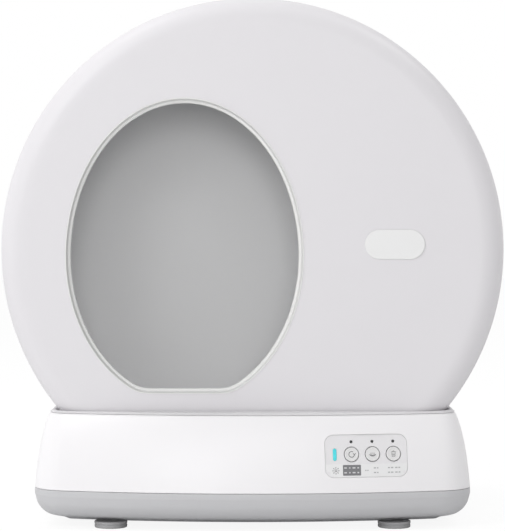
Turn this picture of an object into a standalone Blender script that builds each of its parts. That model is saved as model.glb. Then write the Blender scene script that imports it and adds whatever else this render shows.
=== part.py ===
"""Self cleaning litter box: a drum that turns in a base, as separate pieces.

Metres. X is right, -Y is the front, Z is up. The origin is on the floor, under the
middle of the whole. The drum turns about a level axis along Y, at x = 0 and z = AXIS_Z.
Places inside the drum are given from that axis as (right, up).
"""
from math import acos, asin, atan2, cos, pi, sin, sqrt, tan, tau

import bmesh
import bpy
from mathutils import Vector

# Clearances, and how far a cutter runs past what it cuts
GAP = 0.0003
MERGE_SHARE = 0.01
OVERRUN = 0.012
SLIDE_PLAY = 0.003

# Facets of a full turn
DRUM_STEPS = 48
SMALL_STEPS = 16
TINY_STEPS = 10

# Drum: outer radius, half length, lowest point above the floor, rim round-over, wall
DRUM_R = 0.300
DRUM_HALF = 0.198
DRUM_LIFT = 0.0285
RIM_R = 0.030
RIM_STEPS = 4
DRUM_WALL = 0.003
AXIS_Z = DRUM_LIFT + DRUM_R
DRUM_IN = DRUM_R - DRUM_WALL
FLAT_R = DRUM_R - RIM_R
INNER_HALF = DRUM_HALF - DRUM_WALL

# Groove between the two drum halves, where the teeth lie
GROOVE_Y = 0.027
GROOVE_WIDTH = 0.022
GROOVE_FRONT = GROOVE_Y - GROOVE_WIDTH / 2
GROOVE_REAR = GROOVE_Y + GROOVE_WIDTH / 2

# Gearing: as many teeth as put the ring's pitch circle about PITCH_DEPTH under the drum's surface
GEAR_MODULE = 0.0048
PITCH_DEPTH = 0.012
RING_TEETH = round(2 * (DRUM_R - PITCH_DEPTH) / GEAR_MODULE)
PINION_TEETH = 15
PRESSURE_ANGLE = pi / 9
BACKLASH = 0.0004
ADDENDUM_SHARE = 0.8
DEDENDUM_SHARE = 1.05
ADDENDUM = ADDENDUM_SHARE * GEAR_MODULE
DEDENDUM = DEDENDUM_SHARE * GEAR_MODULE
RING_PITCH_R = GEAR_MODULE * RING_TEETH / 2
PINION_PITCH_R = GEAR_MODULE * PINION_TEETH / 2
FLANK_SHARES = (0.35, 0.7, 1.0)

# Ring gear: a channel ring whose flanges tuck into the drum halves
RING_DEPTH = 0.008
RING_IN = RING_PITCH_R - RING_DEPTH
CHANNEL_WALL = 0.003

# Motor, gearbox and pinion, which lie between the tray's floor and the trough
PINION_WIDTH = 0.012
PINION_SHAFT_R = 0.005
PINION_SHAFT_LENGTH = 0.036
GEARBOX_START = 0.009
GEARBOX_LENGTH = 0.043
GEARBOX_LOBE_R = 0.0186
GEARBOX_NOSE_PLAY = 0.0025
GEARBOX_LOBE_PLAY = 0.0053
MOTOR_R = 0.017
MOTOR_PLAY = 0.0052
MOTOR_LENGTH = 0.055
MOTOR_END_R = 0.006
MOTOR_END_LENGTH = 0.004

# Support rollers
ROLLER_R = 0.018
ROLLER_WIDTH = 0.022
ROLLER_ANGLE = 0.663
ROLLER_END = 0.068
ROLLER_TO_GEARBOX = 0.025
GEARBOX_FRONT = GROOVE_Y + PINION_WIDTH / 2 + GEARBOX_START
GEARBOX_REAR = GEARBOX_FRONT + GEARBOX_LENGTH
ROLLER_FRONT_Y = ROLLER_END - DRUM_HALF
ROLLER_REAR_Y = GEARBOX_REAR + ROLLER_TO_GEARBOX
AXLE_R = 0.004
EAR_WALL = 0.004
EAR_R = 0.008
EAR_PLAY = 0.0005
BRACKET_FOOT = 0.032
SCREW_R = 0.002
SCREW_HEAD_R = 0.004
SCREW_HEAD = 0.0025

# Base plan: play beside the trough, radius of the bowed front and rear, corner radius
TROUGH_SIDE_PLAY = 0.0017
BOW_R = 0.818
CORNER_R = 0.048
BOW_STEPS = 10
CORNER_STEPS = 4
SHELL_WALL = 0.0024
TRAY_WALL = 0.003

# Base heights: underside of the tray, seam, rim
TRAY_UNDERSIDE = 0.008
SEAM_Z = 0.046
RIM_Z = 0.138
UPPER_INSET = 0.0205
TRAY_INSET = 0.040
UPPER_SIDE_SHARES = (
    (0.0, 0.0), (0.10, 0.22), (0.259, 0.475), (0.50, 0.73), (0.80, 0.93), (1.0, 1.0),
)
TRAY_SIDE_SHARES = ((0.0, 1.0), (0.0, 0.822), (0.11, 0.467), (0.375, 0.196), (0.815, 0.077), (1.0, 0.0))

# Cradle deck, which lies on the upper casing's rim
TROUGH_CLEAR = 0.0035
DECK_WALL = 0.0025
WINDOW_CLEAR = 0.003

# Feet, how far in they stand, their pads and the load cells above them
FOOT_R = 0.0195
FOOT_CHAMFER = 0.0015
FOOT_IN_X = 0.092
FOOT_IN_Y = 0.057
PAD_R = 0.018
PAD_HEIGHT = 0.0085
CELL_LENGTH = 0.030
CELL_WIDTH = 0.012
CELL_HEIGHT = 0.008

# Position sensor and its magnet
SENSOR_Y = 0.100
SENSOR_SIZE = 0.012
SENSOR_HEIGHT = 0.004
MAGNET_R = 0.005
MAGNET_HEIGHT = 0.003

# Entrance: an egg on the flat face, left of the bin's housing, with a flat sill
EGG_SIDE = 0.0501
EGG_TO_HOUSING = 0.0279
EGG_DROP = 0.0071
EGG_TOP_SIDE = 0.089
EGG_LOW_SIDE = 0.100
EGG_SILL_SIDE = 0.113
EGG_STEPS = 38
TRIM_NECK = 0.0027
TRIM_LIP = 0.006
TRIM_PROUD = 0.0022
TRIM_SHOULDER_SHARE = 0.9
TRIM_DEPTH = 0.005

# Badge place on the face
BADGE_SIDE = 0.1017
BADGE_Z = 0.0067
BADGE_LENGTH = 0.071
BADGE_HEIGHT = 0.035
BADGE_THICK = 0.0012

# Litter liner, in facets of the drum's turn from straight down
LINER_WALL = 0.003
LINER_END = 0.005
LINER_FACETS = 10

# Housing of the waste bin, inside size, from the axis
HOUSING_WALL = 0.003
HOUSING_PLAY = 0.0025
PORT_WIDTH = 0.158
PORT_HALF_HEIGHT = 0.090
PORT_CORNER_R = 0.006
HOUSING_RIGHT = sqrt(FLAT_R**2 - (PORT_HALF_HEIGHT + HOUSING_WALL) ** 2) - HOUSING_PLAY
PORT_RIGHT = HOUSING_RIGHT - HOUSING_WALL
PORT_LEFT = PORT_RIGHT - PORT_WIDTH
MOUTH_HALF = 0.120
MOUTH_HEIGHT = 0.065
MOUTH_DROP = 0.005
MOUTH_HIGH = PORT_HALF_HEIGHT - MOUTH_DROP
MOUTH_LOW = MOUTH_HIGH - MOUTH_HEIGHT
SCOOP_REACH = 0.030
SCOOP_WALL = 0.003

# Sieve grid between the housing and the liner
SIEVE_FOOT_PLAY = 0.0012
SIEVE_FOOT_ANGLE = 0.452
SIEVE_WALL = 0.003
SIEVE_END = 0.013
SIEVE_SLOTS = 21
SIEVE_BAR = 0.0065
SIEVE_MARGIN = 0.012

# Flap in the mouth
FLAP_WALL = 0.0025
FLAP_KNUCKLE_R = 0.004
FLAP_PIN_R = 0.002
FLAP_SIDE_PLAY = 0.002
FLAP_DROP = 0.002
FLAP_PIVOT_BELOW = 0.006
LUG_LENGTH = 0.006
LUG_DROP = 0.006

# Waste bin and its cover
BIN_WALL = 0.0025
BIN_TOP_DROP = 0.008
BIN_FRONT_PLAY = 0.0065
BIN_CHAMFER = 0.008
COVER_PLAY = 0.0004
CUP_WIDTH = 0.100
CUP_DROP = 0.068
CUP_LOW = PORT_HALF_HEIGHT - CUP_DROP
CUP_HEIGHT = 0.036
CUP_DEPTH = 0.020
CUP_WALL = 0.0025
LATCH_R = 0.008
LATCH_DROP = 0.015
LATCH_Z = PORT_HALF_HEIGHT - LATCH_DROP
LATCH_LENGTH = 0.014
LATCH_FLANGE_R = 0.0105
LATCH_FLANGE = 0.002

# Deodoriser box inside the top of the rear half
SCENT_WIDTH = 0.070
SCENT_HEIGHT = 0.040
SCENT_DEPTH = 0.028
SCENT_DROP = 0.065
SCENT_WALL = 0.002
SCENT_LID = 0.0024
SCENT_SLOTS = 5
SCENT_SLOT = 0.006

# Control panel, in its own frame: along, inwards, up
PANEL_SIDE = 0.127
PANEL_Z = 0.089
PANEL_WIDTH = 0.0986
PANEL_HEIGHT = 0.0502
PANEL_CORNER_R = 0.0105
PANEL_SINK = 0.0005
PANEL_THICK = 0.005
RECESS_DEPTH = 0.0024
RECESS_HEIGHT = 0.0345
RECESS_RIM = 0.0018
BUTTON_R = 0.00875
BUTTON_PITCH = 0.025
BUTTON_ROW_X = 0.0077
BUTTON_ROW_Z = 0.0019
BUTTON_PROUD = 0.0012
BUTTON_PLAY = 0.0004
BUTTON_TRAVEL = 0.001
BUTTON_FLANGE_R = 0.0105
BUTTON_FLANGE_Y = 0.0073
BUTTON_FLANGE = 0.001
BUTTON_STEM_R = 0.003
LAMP_R = 0.0016
LAMP_ROW_Z = 0.0167
LAMP_PROUD = 0.0002
LAMP_LENGTH = 0.004
BAR_X = -0.0372
BAR_WIDTH = 0.0041
BAR_HEIGHT = 0.014
BOARD_Y = 0.0103
BOARD_WALL = 0.0016
BOARD_WIDTH = 0.084
BOARD_HEIGHT = 0.041
POST_R = 0.0025
POST_INSET = 0.0035
POST_ROOT = 0.001

# Power inlet at the rear
JACK_SIDE = 0.110
JACK_Z = 0.062
JACK_FLANGE_R = 0.0075
JACK_FLANGE = 0.0036
JACK_BODY_R = 0.006
JACK_LENGTH = 0.016
JACK_BORE_R = 0.0028
JACK_PIN_R = 0.001
JACK_DEPTH = 0.010
JACK_SINK = 0.0005

# Finishes: colour, roughness, metallic
WHITE_SHELL = (0.86, 0.86, 0.87, 0.32, 0.0)
WHITE_KEY = (0.90, 0.90, 0.90, 0.35, 0.0)
SOFT_LIP = (0.84, 0.84, 0.82, 0.55, 0.0)
PALE_BADGE = (0.78, 0.78, 0.78, 0.40, 0.0)
GREY_TRAY = (0.52, 0.52, 0.54, 0.45, 0.0)
GREY_DECK = (0.42, 0.42, 0.44, 0.50, 0.0)
GREY_PANEL = (0.74, 0.74, 0.75, 0.40, 0.0)
GREY_INNER = (0.36, 0.37, 0.39, 0.60, 0.0)
DARK_RUBBER = (0.16, 0.16, 0.17, 0.80, 0.0)
DARK_LAMP = (0.10, 0.10, 0.11, 0.30, 0.0)
CYAN_LAMP = (0.08, 0.68, 0.72, 0.30, 0.0)
DARK_NYLON = (0.08, 0.08, 0.08, 0.50, 0.0)
PALE_NYLON = (0.70, 0.70, 0.66, 0.50, 0.0)
STEEL = (0.60, 0.60, 0.60, 0.35, 1.0)
GREEN_BOARD = (0.05, 0.22, 0.10, 0.50, 0.0)


# Helpers for meshes

def finish(piece, look):
    """Give a piece its own material."""
    material = bpy.data.materials.new(piece.name)
    material.use_nodes = True
    shader = material.node_tree.nodes["Principled BSDF"]
    shader.inputs["Base Color"].default_value = (*look[:3], 1.0)
    shader.inputs["Roughness"].default_value = look[3]
    shader.inputs["Metallic"].default_value = look[4]
    material.diffuse_color = (*look[:3], 1.0)
    piece.data.materials.clear()
    piece.data.materials.append(material)
    return piece


def piece_of(bm, name, parent=None):
    """Turn a bmesh into an object with outward faces, smooth over shallow angles."""
    bmesh.ops.recalc_face_normals(bm, faces=bm.faces[:])
    mesh = bpy.data.meshes.new(name)
    bm.to_mesh(mesh)
    bm.free()
    mesh.shade_smooth()
    mesh.set_sharp_from_angle(angle=pi / 6)
    piece = bpy.data.objects.new(name, mesh)
    bpy.context.scene.collection.objects.link(piece)
    piece.parent = parent
    return piece


def empty(name, place, turn=(0.0, 0.0, 0.0), parent=None):
    """An unseen frame that pieces hang from."""
    frame = bpy.data.objects.new(name, None)
    frame.location = place
    frame.rotation_euler = turn
    frame.parent = parent
    bpy.context.scene.collection.objects.link(frame)
    return frame


def spot(point, along, axis):
    """Place an outline's point in space, with the third coordinate on the given axis."""
    if axis == "Y":
        return (point[0], along, point[1])
    return (point[0], point[1], along)


def slab(name, loops, low, high, axis="Y", parent=None):
    """An outline, with any holes after it, carried from low to high along one axis."""
    bm = bmesh.new()
    for loop in loops:
        verts = [bm.verts.new(spot(point, low, axis)) for point in loop]
        edges = [bm.edges.new(pair) for pair in zip(verts, verts[1:] + verts[:1])]
    if len(loops) == 1:
        bm.faces.new(verts)
    else:
        bmesh.ops.triangle_fill(bm, edges=bm.edges[:], use_beauty=True, use_dissolve=False)
    raised = bmesh.ops.extrude_face_region(bm, geom=bm.faces[:])["geom"]
    top = [item for item in raised if isinstance(item, bmesh.types.BMVert)]
    bmesh.ops.translate(bm, verts=top, vec=spot((0.0, 0.0), high - low, axis))
    return piece_of(bm, name, parent)


def lathe(name, profile, steps, axis="Y", parent=None):
    """Turn a profile of (radius, along) points about an axis through the origin."""
    bm = bmesh.new()
    verts = [bm.verts.new(spot((radius, 0.0), along, axis)) for radius, along in profile]
    pairs = list(zip(verts, verts[1:]))
    if profile[0][0] > 0:
        pairs.append((verts[-1], verts[0]))
    edges = [bm.edges.new(pair) for pair in pairs]
    bmesh.ops.spin(
        bm, geom=verts + edges, cent=(0.0, 0.0, 0.0), axis=spot((0.0, 0.0), 1.0, axis),
        angle=tau, steps=steps, use_merge=True,
    )
    bmesh.ops.remove_doubles(bm, verts=bm.verts[:], dist=GAP * MERGE_SHARE)
    return piece_of(bm, name, parent)


def loft(name, rings, tube=False, parent=None):
    """Skin a run of rings: a tube joins its last ring to its first, else both ends close."""
    bm = bmesh.new()
    rows = [[bm.verts.new(point) for point in ring] for ring in rings]
    pairs = list(zip(rows, rows[1:]))
    if tube:
        pairs.append((rows[-1], rows[0]))
    for lower, upper in pairs:
        count = len(lower)
        for index in range(count):
            after = (index + 1) % count
            bm.faces.new((lower[index], lower[after], upper[after], upper[index]))
    if not tube:
        bm.faces.new(rows[0])
        bm.faces.new(rows[-1])
    return piece_of(bm, name, parent)


def block(name, low, high, parent=None):
    """A box between two corners."""
    outline = ((low[0], low[2]), (high[0], low[2]), (high[0], high[2]), (low[0], high[2]))
    return slab(name, (outline,), low[1], high[1], "Y", parent)


def combine(piece, tool, operation):
    """Cut, join or keep with a tool that stays out of the finished model."""
    tool.hide_render = True
    tool.display_type = "WIRE"
    step = piece.modifiers.new(tool.name, "BOOLEAN")
    step.operation = operation
    step.solver = "EXACT"
    step.object = tool
    return piece


def cut(piece, *tools):
    """Take tools away from a piece."""
    for tool in tools:
        combine(piece, tool, "DIFFERENCE")
    return piece


def join(piece, *tools):
    """Add tools to a piece."""
    for tool in tools:
        combine(piece, tool, "UNION")
    return piece


# Helpers for outlines

def arc(centre, radius, start, end, steps):
    """Points from one angle to another, both ends included."""
    angles = [start + (end - start) * step / steps for step in range(steps + 1)]
    return [(centre[0] + radius * cos(a), centre[1] + radius * sin(a)) for a in angles]


def circle(centre, radius, steps):
    """Points of a full turn."""
    return arc(centre, radius, 0.0, tau, steps)[:-1]


def round_box(centre, width, height, corner):
    """A rectangle with round corners."""
    right = width / 2 - corner
    up = height / 2 - corner
    points = []
    for quarter, (side, rise) in enumerate(((1, 1), (-1, 1), (-1, -1), (1, -1))):
        hub = (centre[0] + side * right, centre[1] + rise * up)
        points += arc(hub, corner, quarter * pi / 2, (quarter + 1) * pi / 2, CORNER_STEPS)
    return points


def belt(first, first_r, second, second_r, steps):
    """The outline of a band drawn tight round two circles."""
    run = (second[0] - first[0], second[1] - first[1])
    heading = atan2(run[1], run[0])
    spread = acos((first_r - second_r) / sqrt(run[0] ** 2 + run[1] ** 2))
    far = arc(second, second_r, heading - spread, heading + spread, steps)
    near = arc(first, first_r, heading + spread, heading + tau - spread, steps)
    return far + near


def egg(offset):
    """The entrance's outline from the axis, moved outwards by an offset."""
    left = EGG_SIDE - FLAT_R
    right = PORT_LEFT - HOUSING_WALL - EGG_TO_HOUSING
    reach = (right - left) / 2
    upper, lower, sill = FLAT_R - EGG_TOP_SIDE, FLAT_R - EGG_LOW_SIDE, FLAT_R - EGG_SILL_SIDE
    points = []
    for step in range(EGG_STEPS):
        turn = tau * (step + 0.5) / EGG_STEPS
        height = upper if sin(turn) > 0 else lower
        normal = Vector((cos(turn) / reach, sin(turn) / height)).normalized()
        across = reach * cos(turn) + offset * normal.x
        up = height * sin(turn) + offset * normal.y
        points.append((left + reach + across, max(up, -sill - offset) - EGG_DROP))
    return points


def base_half_width():
    """Half the base's width, which lets the trough fit inside the casing's rim."""
    top = RIM_Z - DECK_WALL - GAP
    belly = sqrt(trough_reach() ** 2 - (AXIS_Z - top) ** 2)
    return belly + TROUGH_SIDE_PLAY + SHELL_WALL + wall_inset(top)


def base_half_depth():
    """Half the base's depth, which lets the trough's ends fit behind the bowed rim."""
    top = RIM_Z - DECK_WALL - GAP
    inner = BOW_R - wall_inset(top) - SHELL_WALL
    hub = (FLAT_R, DRUM_HALF - RIM_R)
    needed = []
    for radius, y in arc(hub, RIM_R + TROUGH_CLEAR + DECK_WALL, 0.0, pi / 2, RIM_STEPS):
        chord = radius**2 - (AXIS_Z - top) ** 2
        needed.append(BOW_R + y + GAP - sqrt(inner**2 - chord))
    return max(needed)


def base_plan(inset, z):
    """The base's plan at one height, moved inwards by an inset."""
    bow_y = BOW_R - base_half_depth()
    corner_x = base_half_width() - CORNER_R
    reach = sqrt((BOW_R - CORNER_R) ** 2 - corner_x ** 2)
    corner_y = reach - bow_y
    lean = atan2(corner_x, reach)
    bow = arc((0.0, bow_y), BOW_R - inset, -pi / 2 - lean, -pi / 2 + lean, BOW_STEPS)
    corner = arc((corner_x, -corner_y), CORNER_R - inset, -pi / 2 + lean, 0.0, CORNER_STEPS)
    front = bow + corner[1:]
    right_rear = [(x, -y) for x, y in reversed(corner)]
    rear = [(x, -y) for x, y in reversed(bow)][1:]
    left_rear = [(-x, -y) for x, y in corner[1:]]
    left_front = [(-x, y) for x, y in reversed(corner)][:-1]
    return [(x, y, z) for x, y in front + right_rear + rear + left_rear + left_front]


def wall_inset(z):
    """How far the upper casing's side has drawn in at a height."""
    share = (z - SEAM_Z) / (RIM_Z - SEAM_Z)
    for (low_in, low_up), (high_in, high_up) in zip(UPPER_SIDE_SHARES, UPPER_SIDE_SHARES[1:]):
        if share <= high_up:
            part = (share - low_up) / (high_up - low_up)
            return UPPER_INSET * (low_in + part * (high_in - low_in))
    return UPPER_INSET


def round_drum(radius, angle):
    """A place at a radius from the drum's axis, turned from straight down towards +X."""
    return (radius * sin(angle), AXIS_Z - radius * cos(angle))


# Drum

def half_profile(outer):
    """The drum half's section, from the groove's edge round the rim to the axis and back."""
    edge = GROOVE_FRONT if outer < 0 else GROOVE_REAR
    flat = outer * DRUM_HALF
    inner = flat - outer * DRUM_WALL
    turn = flat - outer * RIM_R
    hub = (FLAT_R, turn)
    outside = arc(hub, RIM_R, outer * pi / 2, 0.0, RIM_STEPS) + [(DRUM_R, edge)]
    inside = [(DRUM_IN, edge)] + arc(hub, RIM_R - DRUM_WALL, 0.0, outer * pi / 2, RIM_STEPS - 1)
    return [(0.0, flat)] + outside + inside + [(0.0, inner)]


def drum_body(name, offset, parent=None):
    """The whole drum's form as one solid, swollen by an offset."""
    rim = arc((FLAT_R, DRUM_HALF - RIM_R), RIM_R + offset, 0.0, pi / 2, RIM_STEPS)
    rear = rim + [(0.0, DRUM_HALF + offset)]
    return lathe(name, [(radius, -y) for radius, y in rear[::-1]] + rear, DRUM_STEPS, "Y", parent)


def front_shell(axis):
    """Front half of the drum, with the entrance through its flat face."""
    shell = lathe("front_shell", half_profile(-1), DRUM_STEPS, "Y", axis)
    low = -DRUM_HALF - OVERRUN
    hole = slab("entrance_cut", (egg(TRIM_NECK + GAP),), low, OVERRUN - DRUM_HALF, "Y", axis)
    return finish(cut(shell, hole), WHITE_SHELL)


def port_outline(play):
    """The port's outline behind the drum, drawn in by a play."""
    centre = ((PORT_LEFT + PORT_RIGHT) / 2, 0.0)
    width = PORT_RIGHT - PORT_LEFT - 2 * play
    return round_box(centre, width, 2 * (PORT_HALF_HEIGHT - play), PORT_CORNER_R - play)


def rear_shell(axis):
    """Rear half of the drum, with the port for the waste bin."""
    shell = lathe("rear_shell", half_profile(1), DRUM_STEPS, "Y", axis)
    port = slab("port_cut", (port_outline(0.0),), DRUM_HALF - OVERRUN, DRUM_HALF + OVERRUN, "Y", axis)
    return finish(cut(shell, port), WHITE_SHELL)


def ring_outline():
    """Straight-sided teeth round the drum, the first one at +X."""
    root_r = RING_PITCH_R - DEDENDUM
    tip_r = RING_PITCH_R + ADDENDUM
    half = pi * GEAR_MODULE / 4 - BACKLASH / 2
    root = (half + DEDENDUM * tan(PRESSURE_ANGLE)) / root_r
    tip = (half - ADDENDUM * tan(PRESSURE_ANGLE)) / tip_r
    points = []
    for tooth in range(RING_TEETH):
        middle = tau * tooth / RING_TEETH
        for radius, swing in ((root_r, -root), (tip_r, -tip), (tip_r, tip), (root_r, root)):
            points.append((radius * cos(middle + swing), radius * sin(middle + swing)))
    return points


def ring_gear(axis):
    """Toothed ring that joins the drum halves, a channel with a flange inside each half."""
    outer = DRUM_IN - GAP
    floor = RING_IN + CHANNEL_WALL / 2
    front = GROOVE_FRONT - CHANNEL_WALL
    rear = GROOVE_REAR + CHANNEL_WALL
    profile = [
        (outer, front), (outer, GROOVE_FRONT), (floor, GROOVE_FRONT), (floor, GROOVE_REAR),
        (outer, GROOVE_REAR), (outer, rear), (RING_IN, rear), (RING_IN, front),
    ]
    ring = lathe("ring_gear", profile, DRUM_STEPS, "Y", axis)
    bore = circle((0.0, 0.0), RING_IN + CHANNEL_WALL / 4, DRUM_STEPS)
    sunk = CHANNEL_WALL / 2
    teeth = slab("ring_teeth", (ring_outline(), bore), front + sunk, rear - sunk, "Y", axis)
    return finish(join(ring, teeth), DARK_NYLON)


def litter_liner(axis):
    """Bendable liner under the litter, a strip of the drum's lower side."""
    outer = RING_IN - GAP
    facet = tau / DRUM_STEPS
    start = -pi / 2 - LINER_FACETS * facet
    end = -pi / 2 + LINER_FACETS * facet
    below = arc((0.0, 0.0), outer, start, end, 2 * LINER_FACETS)
    above = arc((0.0, 0.0), outer - LINER_WALL, end, start, 2 * LINER_FACETS)
    half = INNER_HALF - LINER_END
    return finish(slab("litter_liner", (below + above,), -half, half, "Y", axis), GREY_INNER)


def opening_trim(axis):
    """Soft lip round the entrance, clipped over the edge of the hole."""
    face = -DRUM_HALF
    section = [
        (0.0, face - TRIM_PROUD / 2), (TRIM_LIP / 4, face - TRIM_PROUD * TRIM_SHOULDER_SHARE),
        (TRIM_LIP / 2, face - TRIM_PROUD), (TRIM_LIP, face - TRIM_PROUD / 2), (TRIM_LIP, face - GAP),
        (TRIM_NECK, face - GAP), (TRIM_NECK, face + DRUM_WALL + TRIM_DEPTH),
        (0.0, face + DRUM_WALL + TRIM_DEPTH),
    ]
    rings = [[(x, y, z) for x, z in egg(offset)] for offset, y in section]
    return finish(loft("opening_trim", rings, True, axis), SOFT_LIP)


def face_badge(axis):
    """Bare pill-shaped plate on the face."""
    radius = BADGE_HEIGHT / 2
    reach = BADGE_LENGTH / 2 - radius
    x = FLAT_R - BADGE_SIDE
    pill = belt((x - reach, BADGE_Z), radius, (x + reach, BADGE_Z), radius, TINY_STEPS)
    front = -DRUM_HALF - GAP - BADGE_THICK
    return finish(slab("face_badge", (pill,), front, -DRUM_HALF - GAP, "Y", axis), PALE_BADGE)


def bin_housing(axis):
    """Tunnel that holds the waste bin, with the mouth that the sieve leads to."""
    end = INNER_HALF - GAP
    left = PORT_LEFT - HOUSING_WALL
    top = PORT_HALF_HEIGHT + HOUSING_WALL
    housing = block("bin_housing", (left, -end, -top), (HOUSING_RIGHT, end, top), axis)
    scoop = block(
        "scoop_lip", (left - SCOOP_REACH, -MOUTH_HALF, MOUTH_HIGH),
        (PORT_LEFT - HOUSING_WALL / 2, MOUTH_HALF, MOUTH_HIGH + SCOOP_WALL), axis,
    )
    tunnel = block(
        "tunnel_cut", (PORT_LEFT, HOUSING_WALL - end, -PORT_HALF_HEIGHT),
        (PORT_RIGHT, end + OVERRUN, PORT_HALF_HEIGHT), axis,
    )
    mouth = block(
        "mouth_cut", (left - SCOOP_REACH, -MOUTH_HALF, MOUTH_LOW),
        (PORT_LEFT + OVERRUN, MOUTH_HALF, MOUTH_HIGH), axis,
    )
    cut(join(housing, scoop), tunnel, mouth)
    pivot_x, pivot_z = flap_pivot()
    for side, name in ((-1, "front"), (1, "rear")):
        near = side * (MOUTH_HALF - FLAP_SIDE_PLAY + GAP)
        far = near + side * LUG_LENGTH
        lug = block(
            "lug_" + name, (PORT_LEFT - HOUSING_WALL / 2, min(near, far), pivot_z - LUG_DROP),
            (pivot_x + LUG_DROP, max(near, far), top - HOUSING_WALL / 2), axis,
        )
        join(housing, lug)
    bore = circle((pivot_x, pivot_z), FLAP_PIN_R + GAP, TINY_STEPS)
    reach = MOUTH_HALF + LUG_LENGTH + OVERRUN
    return finish(cut(housing, slab("pin_cut", (bore,), -reach, reach, "Y", axis)), GREY_INNER)


def flap_pivot():
    """Place of the flap's pin, from the drum's axis."""
    return (PORT_LEFT + 2 * GAP + FLAP_KNUCKLE_R, PORT_HALF_HEIGHT - FLAP_PIVOT_BELOW)


def bin_flap(axis):
    """Flap that hangs in the mouth, with its knuckle round the pin."""
    pivot_x, pivot_z = flap_pivot()
    frame = empty("flap_axis", (pivot_x, 0.0, pivot_z), parent=axis)
    left = -FLAP_KNUCKLE_R
    inner = left + FLAP_WALL
    foot = MOUTH_LOW + FLAP_DROP - pivot_z
    knuckle = arc((0.0, 0.0), FLAP_KNUCKLE_R, pi, -acos(inner / FLAP_KNUCKLE_R), TINY_STEPS)
    outline = knuckle + [(inner, foot), (left, foot)]
    half = MOUTH_HALF - FLAP_SIDE_PLAY
    bore = circle((0.0, 0.0), FLAP_PIN_R + GAP, TINY_STEPS)
    return finish(slab("bin_flap", (outline, bore), -half, half, "Y", frame), GREY_PANEL)


def flap_pin(axis):
    """Pin of the flap, held in the housing's lugs."""
    half = MOUTH_HALF - FLAP_SIDE_PLAY + GAP + LUG_LENGTH
    outline = circle(flap_pivot(), FLAP_PIN_R, TINY_STEPS)
    return finish(slab("flap_pin", (outline,), -half, half, "Y", axis), STEEL)


def sieve_grid(axis):
    """Slotted plate from the housing's lower corner to the liner."""
    head = Vector((PORT_LEFT + SIEVE_WALL, -PORT_HALF_HEIGHT - HOUSING_WALL - SIEVE_WALL / 2))
    foot_r = RING_IN - GAP - LINER_WALL - SIEVE_FOOT_PLAY
    foot = foot_r * Vector((sin(SIEVE_FOOT_ANGLE), -cos(SIEVE_FOOT_ANGLE)))
    run = foot - head
    frame = empty("sieve_frame", (head.x, 0.0, head.y), (0.0, -atan2(run.y, run.x), 0.0), axis)
    length = run.length
    half = INNER_HALF - SIEVE_END
    plate = [(0.0, -half), (length, -half), (length, half), (0.0, half)]
    pitch = (2 * half - SIEVE_BAR) / SIEVE_SLOTS
    loops = [plate]
    for slot in range(SIEVE_SLOTS):
        low = SIEVE_BAR - half + slot * pitch
        high = low + pitch - SIEVE_BAR
        near, far = SIEVE_MARGIN, length - SIEVE_MARGIN
        loops.append([(near, low), (far, low), (far, high), (near, high)])
    return finish(slab("sieve_grid", loops, -SIEVE_WALL / 2, SIEVE_WALL / 2, "Z", frame), GREY_INNER)


def tub_outline(wall, rise):
    """The waste bin's section with chamfered lower corners, drawn in by a wall."""
    left = PORT_LEFT + SLIDE_PLAY + wall
    right = PORT_RIGHT - SLIDE_PLAY - wall
    low = GAP - PORT_HALF_HEIGHT + wall
    high = MOUTH_LOW - BIN_TOP_DROP + rise
    slope = BIN_CHAMFER - wall * (2 - sqrt(2))
    return [
        (left + slope, low), (right - slope, low), (right, low + slope), (right, high),
        (left, high), (left, low + slope),
    ]


def waste_bin(slide):
    """Open tub that slides out of the rear of the drum."""
    front = HOUSING_WALL + BIN_FRONT_PLAY - INNER_HALF
    rear = INNER_HALF - GAP
    tub = slab("waste_bin", (tub_outline(0.0, 0.0),), front, rear, "Y", slide)
    hollow = slab(
        "tub_cut", (tub_outline(BIN_WALL, OVERRUN),), front + BIN_WALL, rear - BIN_WALL, "Y", slide,
    )
    return finish(cut(tub, hollow), GREY_PANEL)


def bin_cover(slide):
    """Cover of the port, flush with the drum's rear face, with a finger cup."""
    face = DRUM_HALF
    back = face - DRUM_WALL
    middle = (PORT_LEFT + PORT_RIGHT) / 2
    cover = slab("bin_cover", (port_outline(COVER_PLAY),), back, face, "Y", slide)
    half = CUP_WIDTH / 2
    cup = block(
        "cup_add", (middle - half - CUP_WALL, face - CUP_DEPTH - CUP_WALL, CUP_LOW - CUP_WALL),
        (middle + half + CUP_WALL, face - DRUM_WALL / 2, CUP_LOW + CUP_HEIGHT + CUP_WALL), slide,
    )
    hollow = block(
        "cup_cut", (middle - half, face - CUP_DEPTH, CUP_LOW),
        (middle + half, face + OVERRUN, CUP_LOW + CUP_HEIGHT), slide,
    )
    bore = circle((middle, LATCH_Z), LATCH_R + GAP, SMALL_STEPS)
    hole = slab("latch_cut", (bore,), back - OVERRUN, face + OVERRUN, "Y", slide)
    return finish(cut(join(cover, cup), hollow, hole), WHITE_SHELL)


def bin_latch(slide):
    """Push button that frees the waste bin."""
    middle = (PORT_LEFT + PORT_RIGHT) / 2
    frame = empty("latch_axis", (middle, DRUM_HALF, LATCH_Z), parent=slide)
    seat = -DRUM_WALL - GAP
    profile = [
        (0.0, 0.0), (LATCH_R, 0.0), (LATCH_R, seat), (LATCH_FLANGE_R, seat),
        (LATCH_FLANGE_R, seat - LATCH_FLANGE), (LATCH_R / 2, seat - LATCH_FLANGE),
        (LATCH_R / 2, -LATCH_LENGTH), (0.0, -LATCH_LENGTH),
    ]
    return finish(lathe("bin_latch", profile, SMALL_STEPS, "Y", frame), GREY_TRAY)


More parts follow.
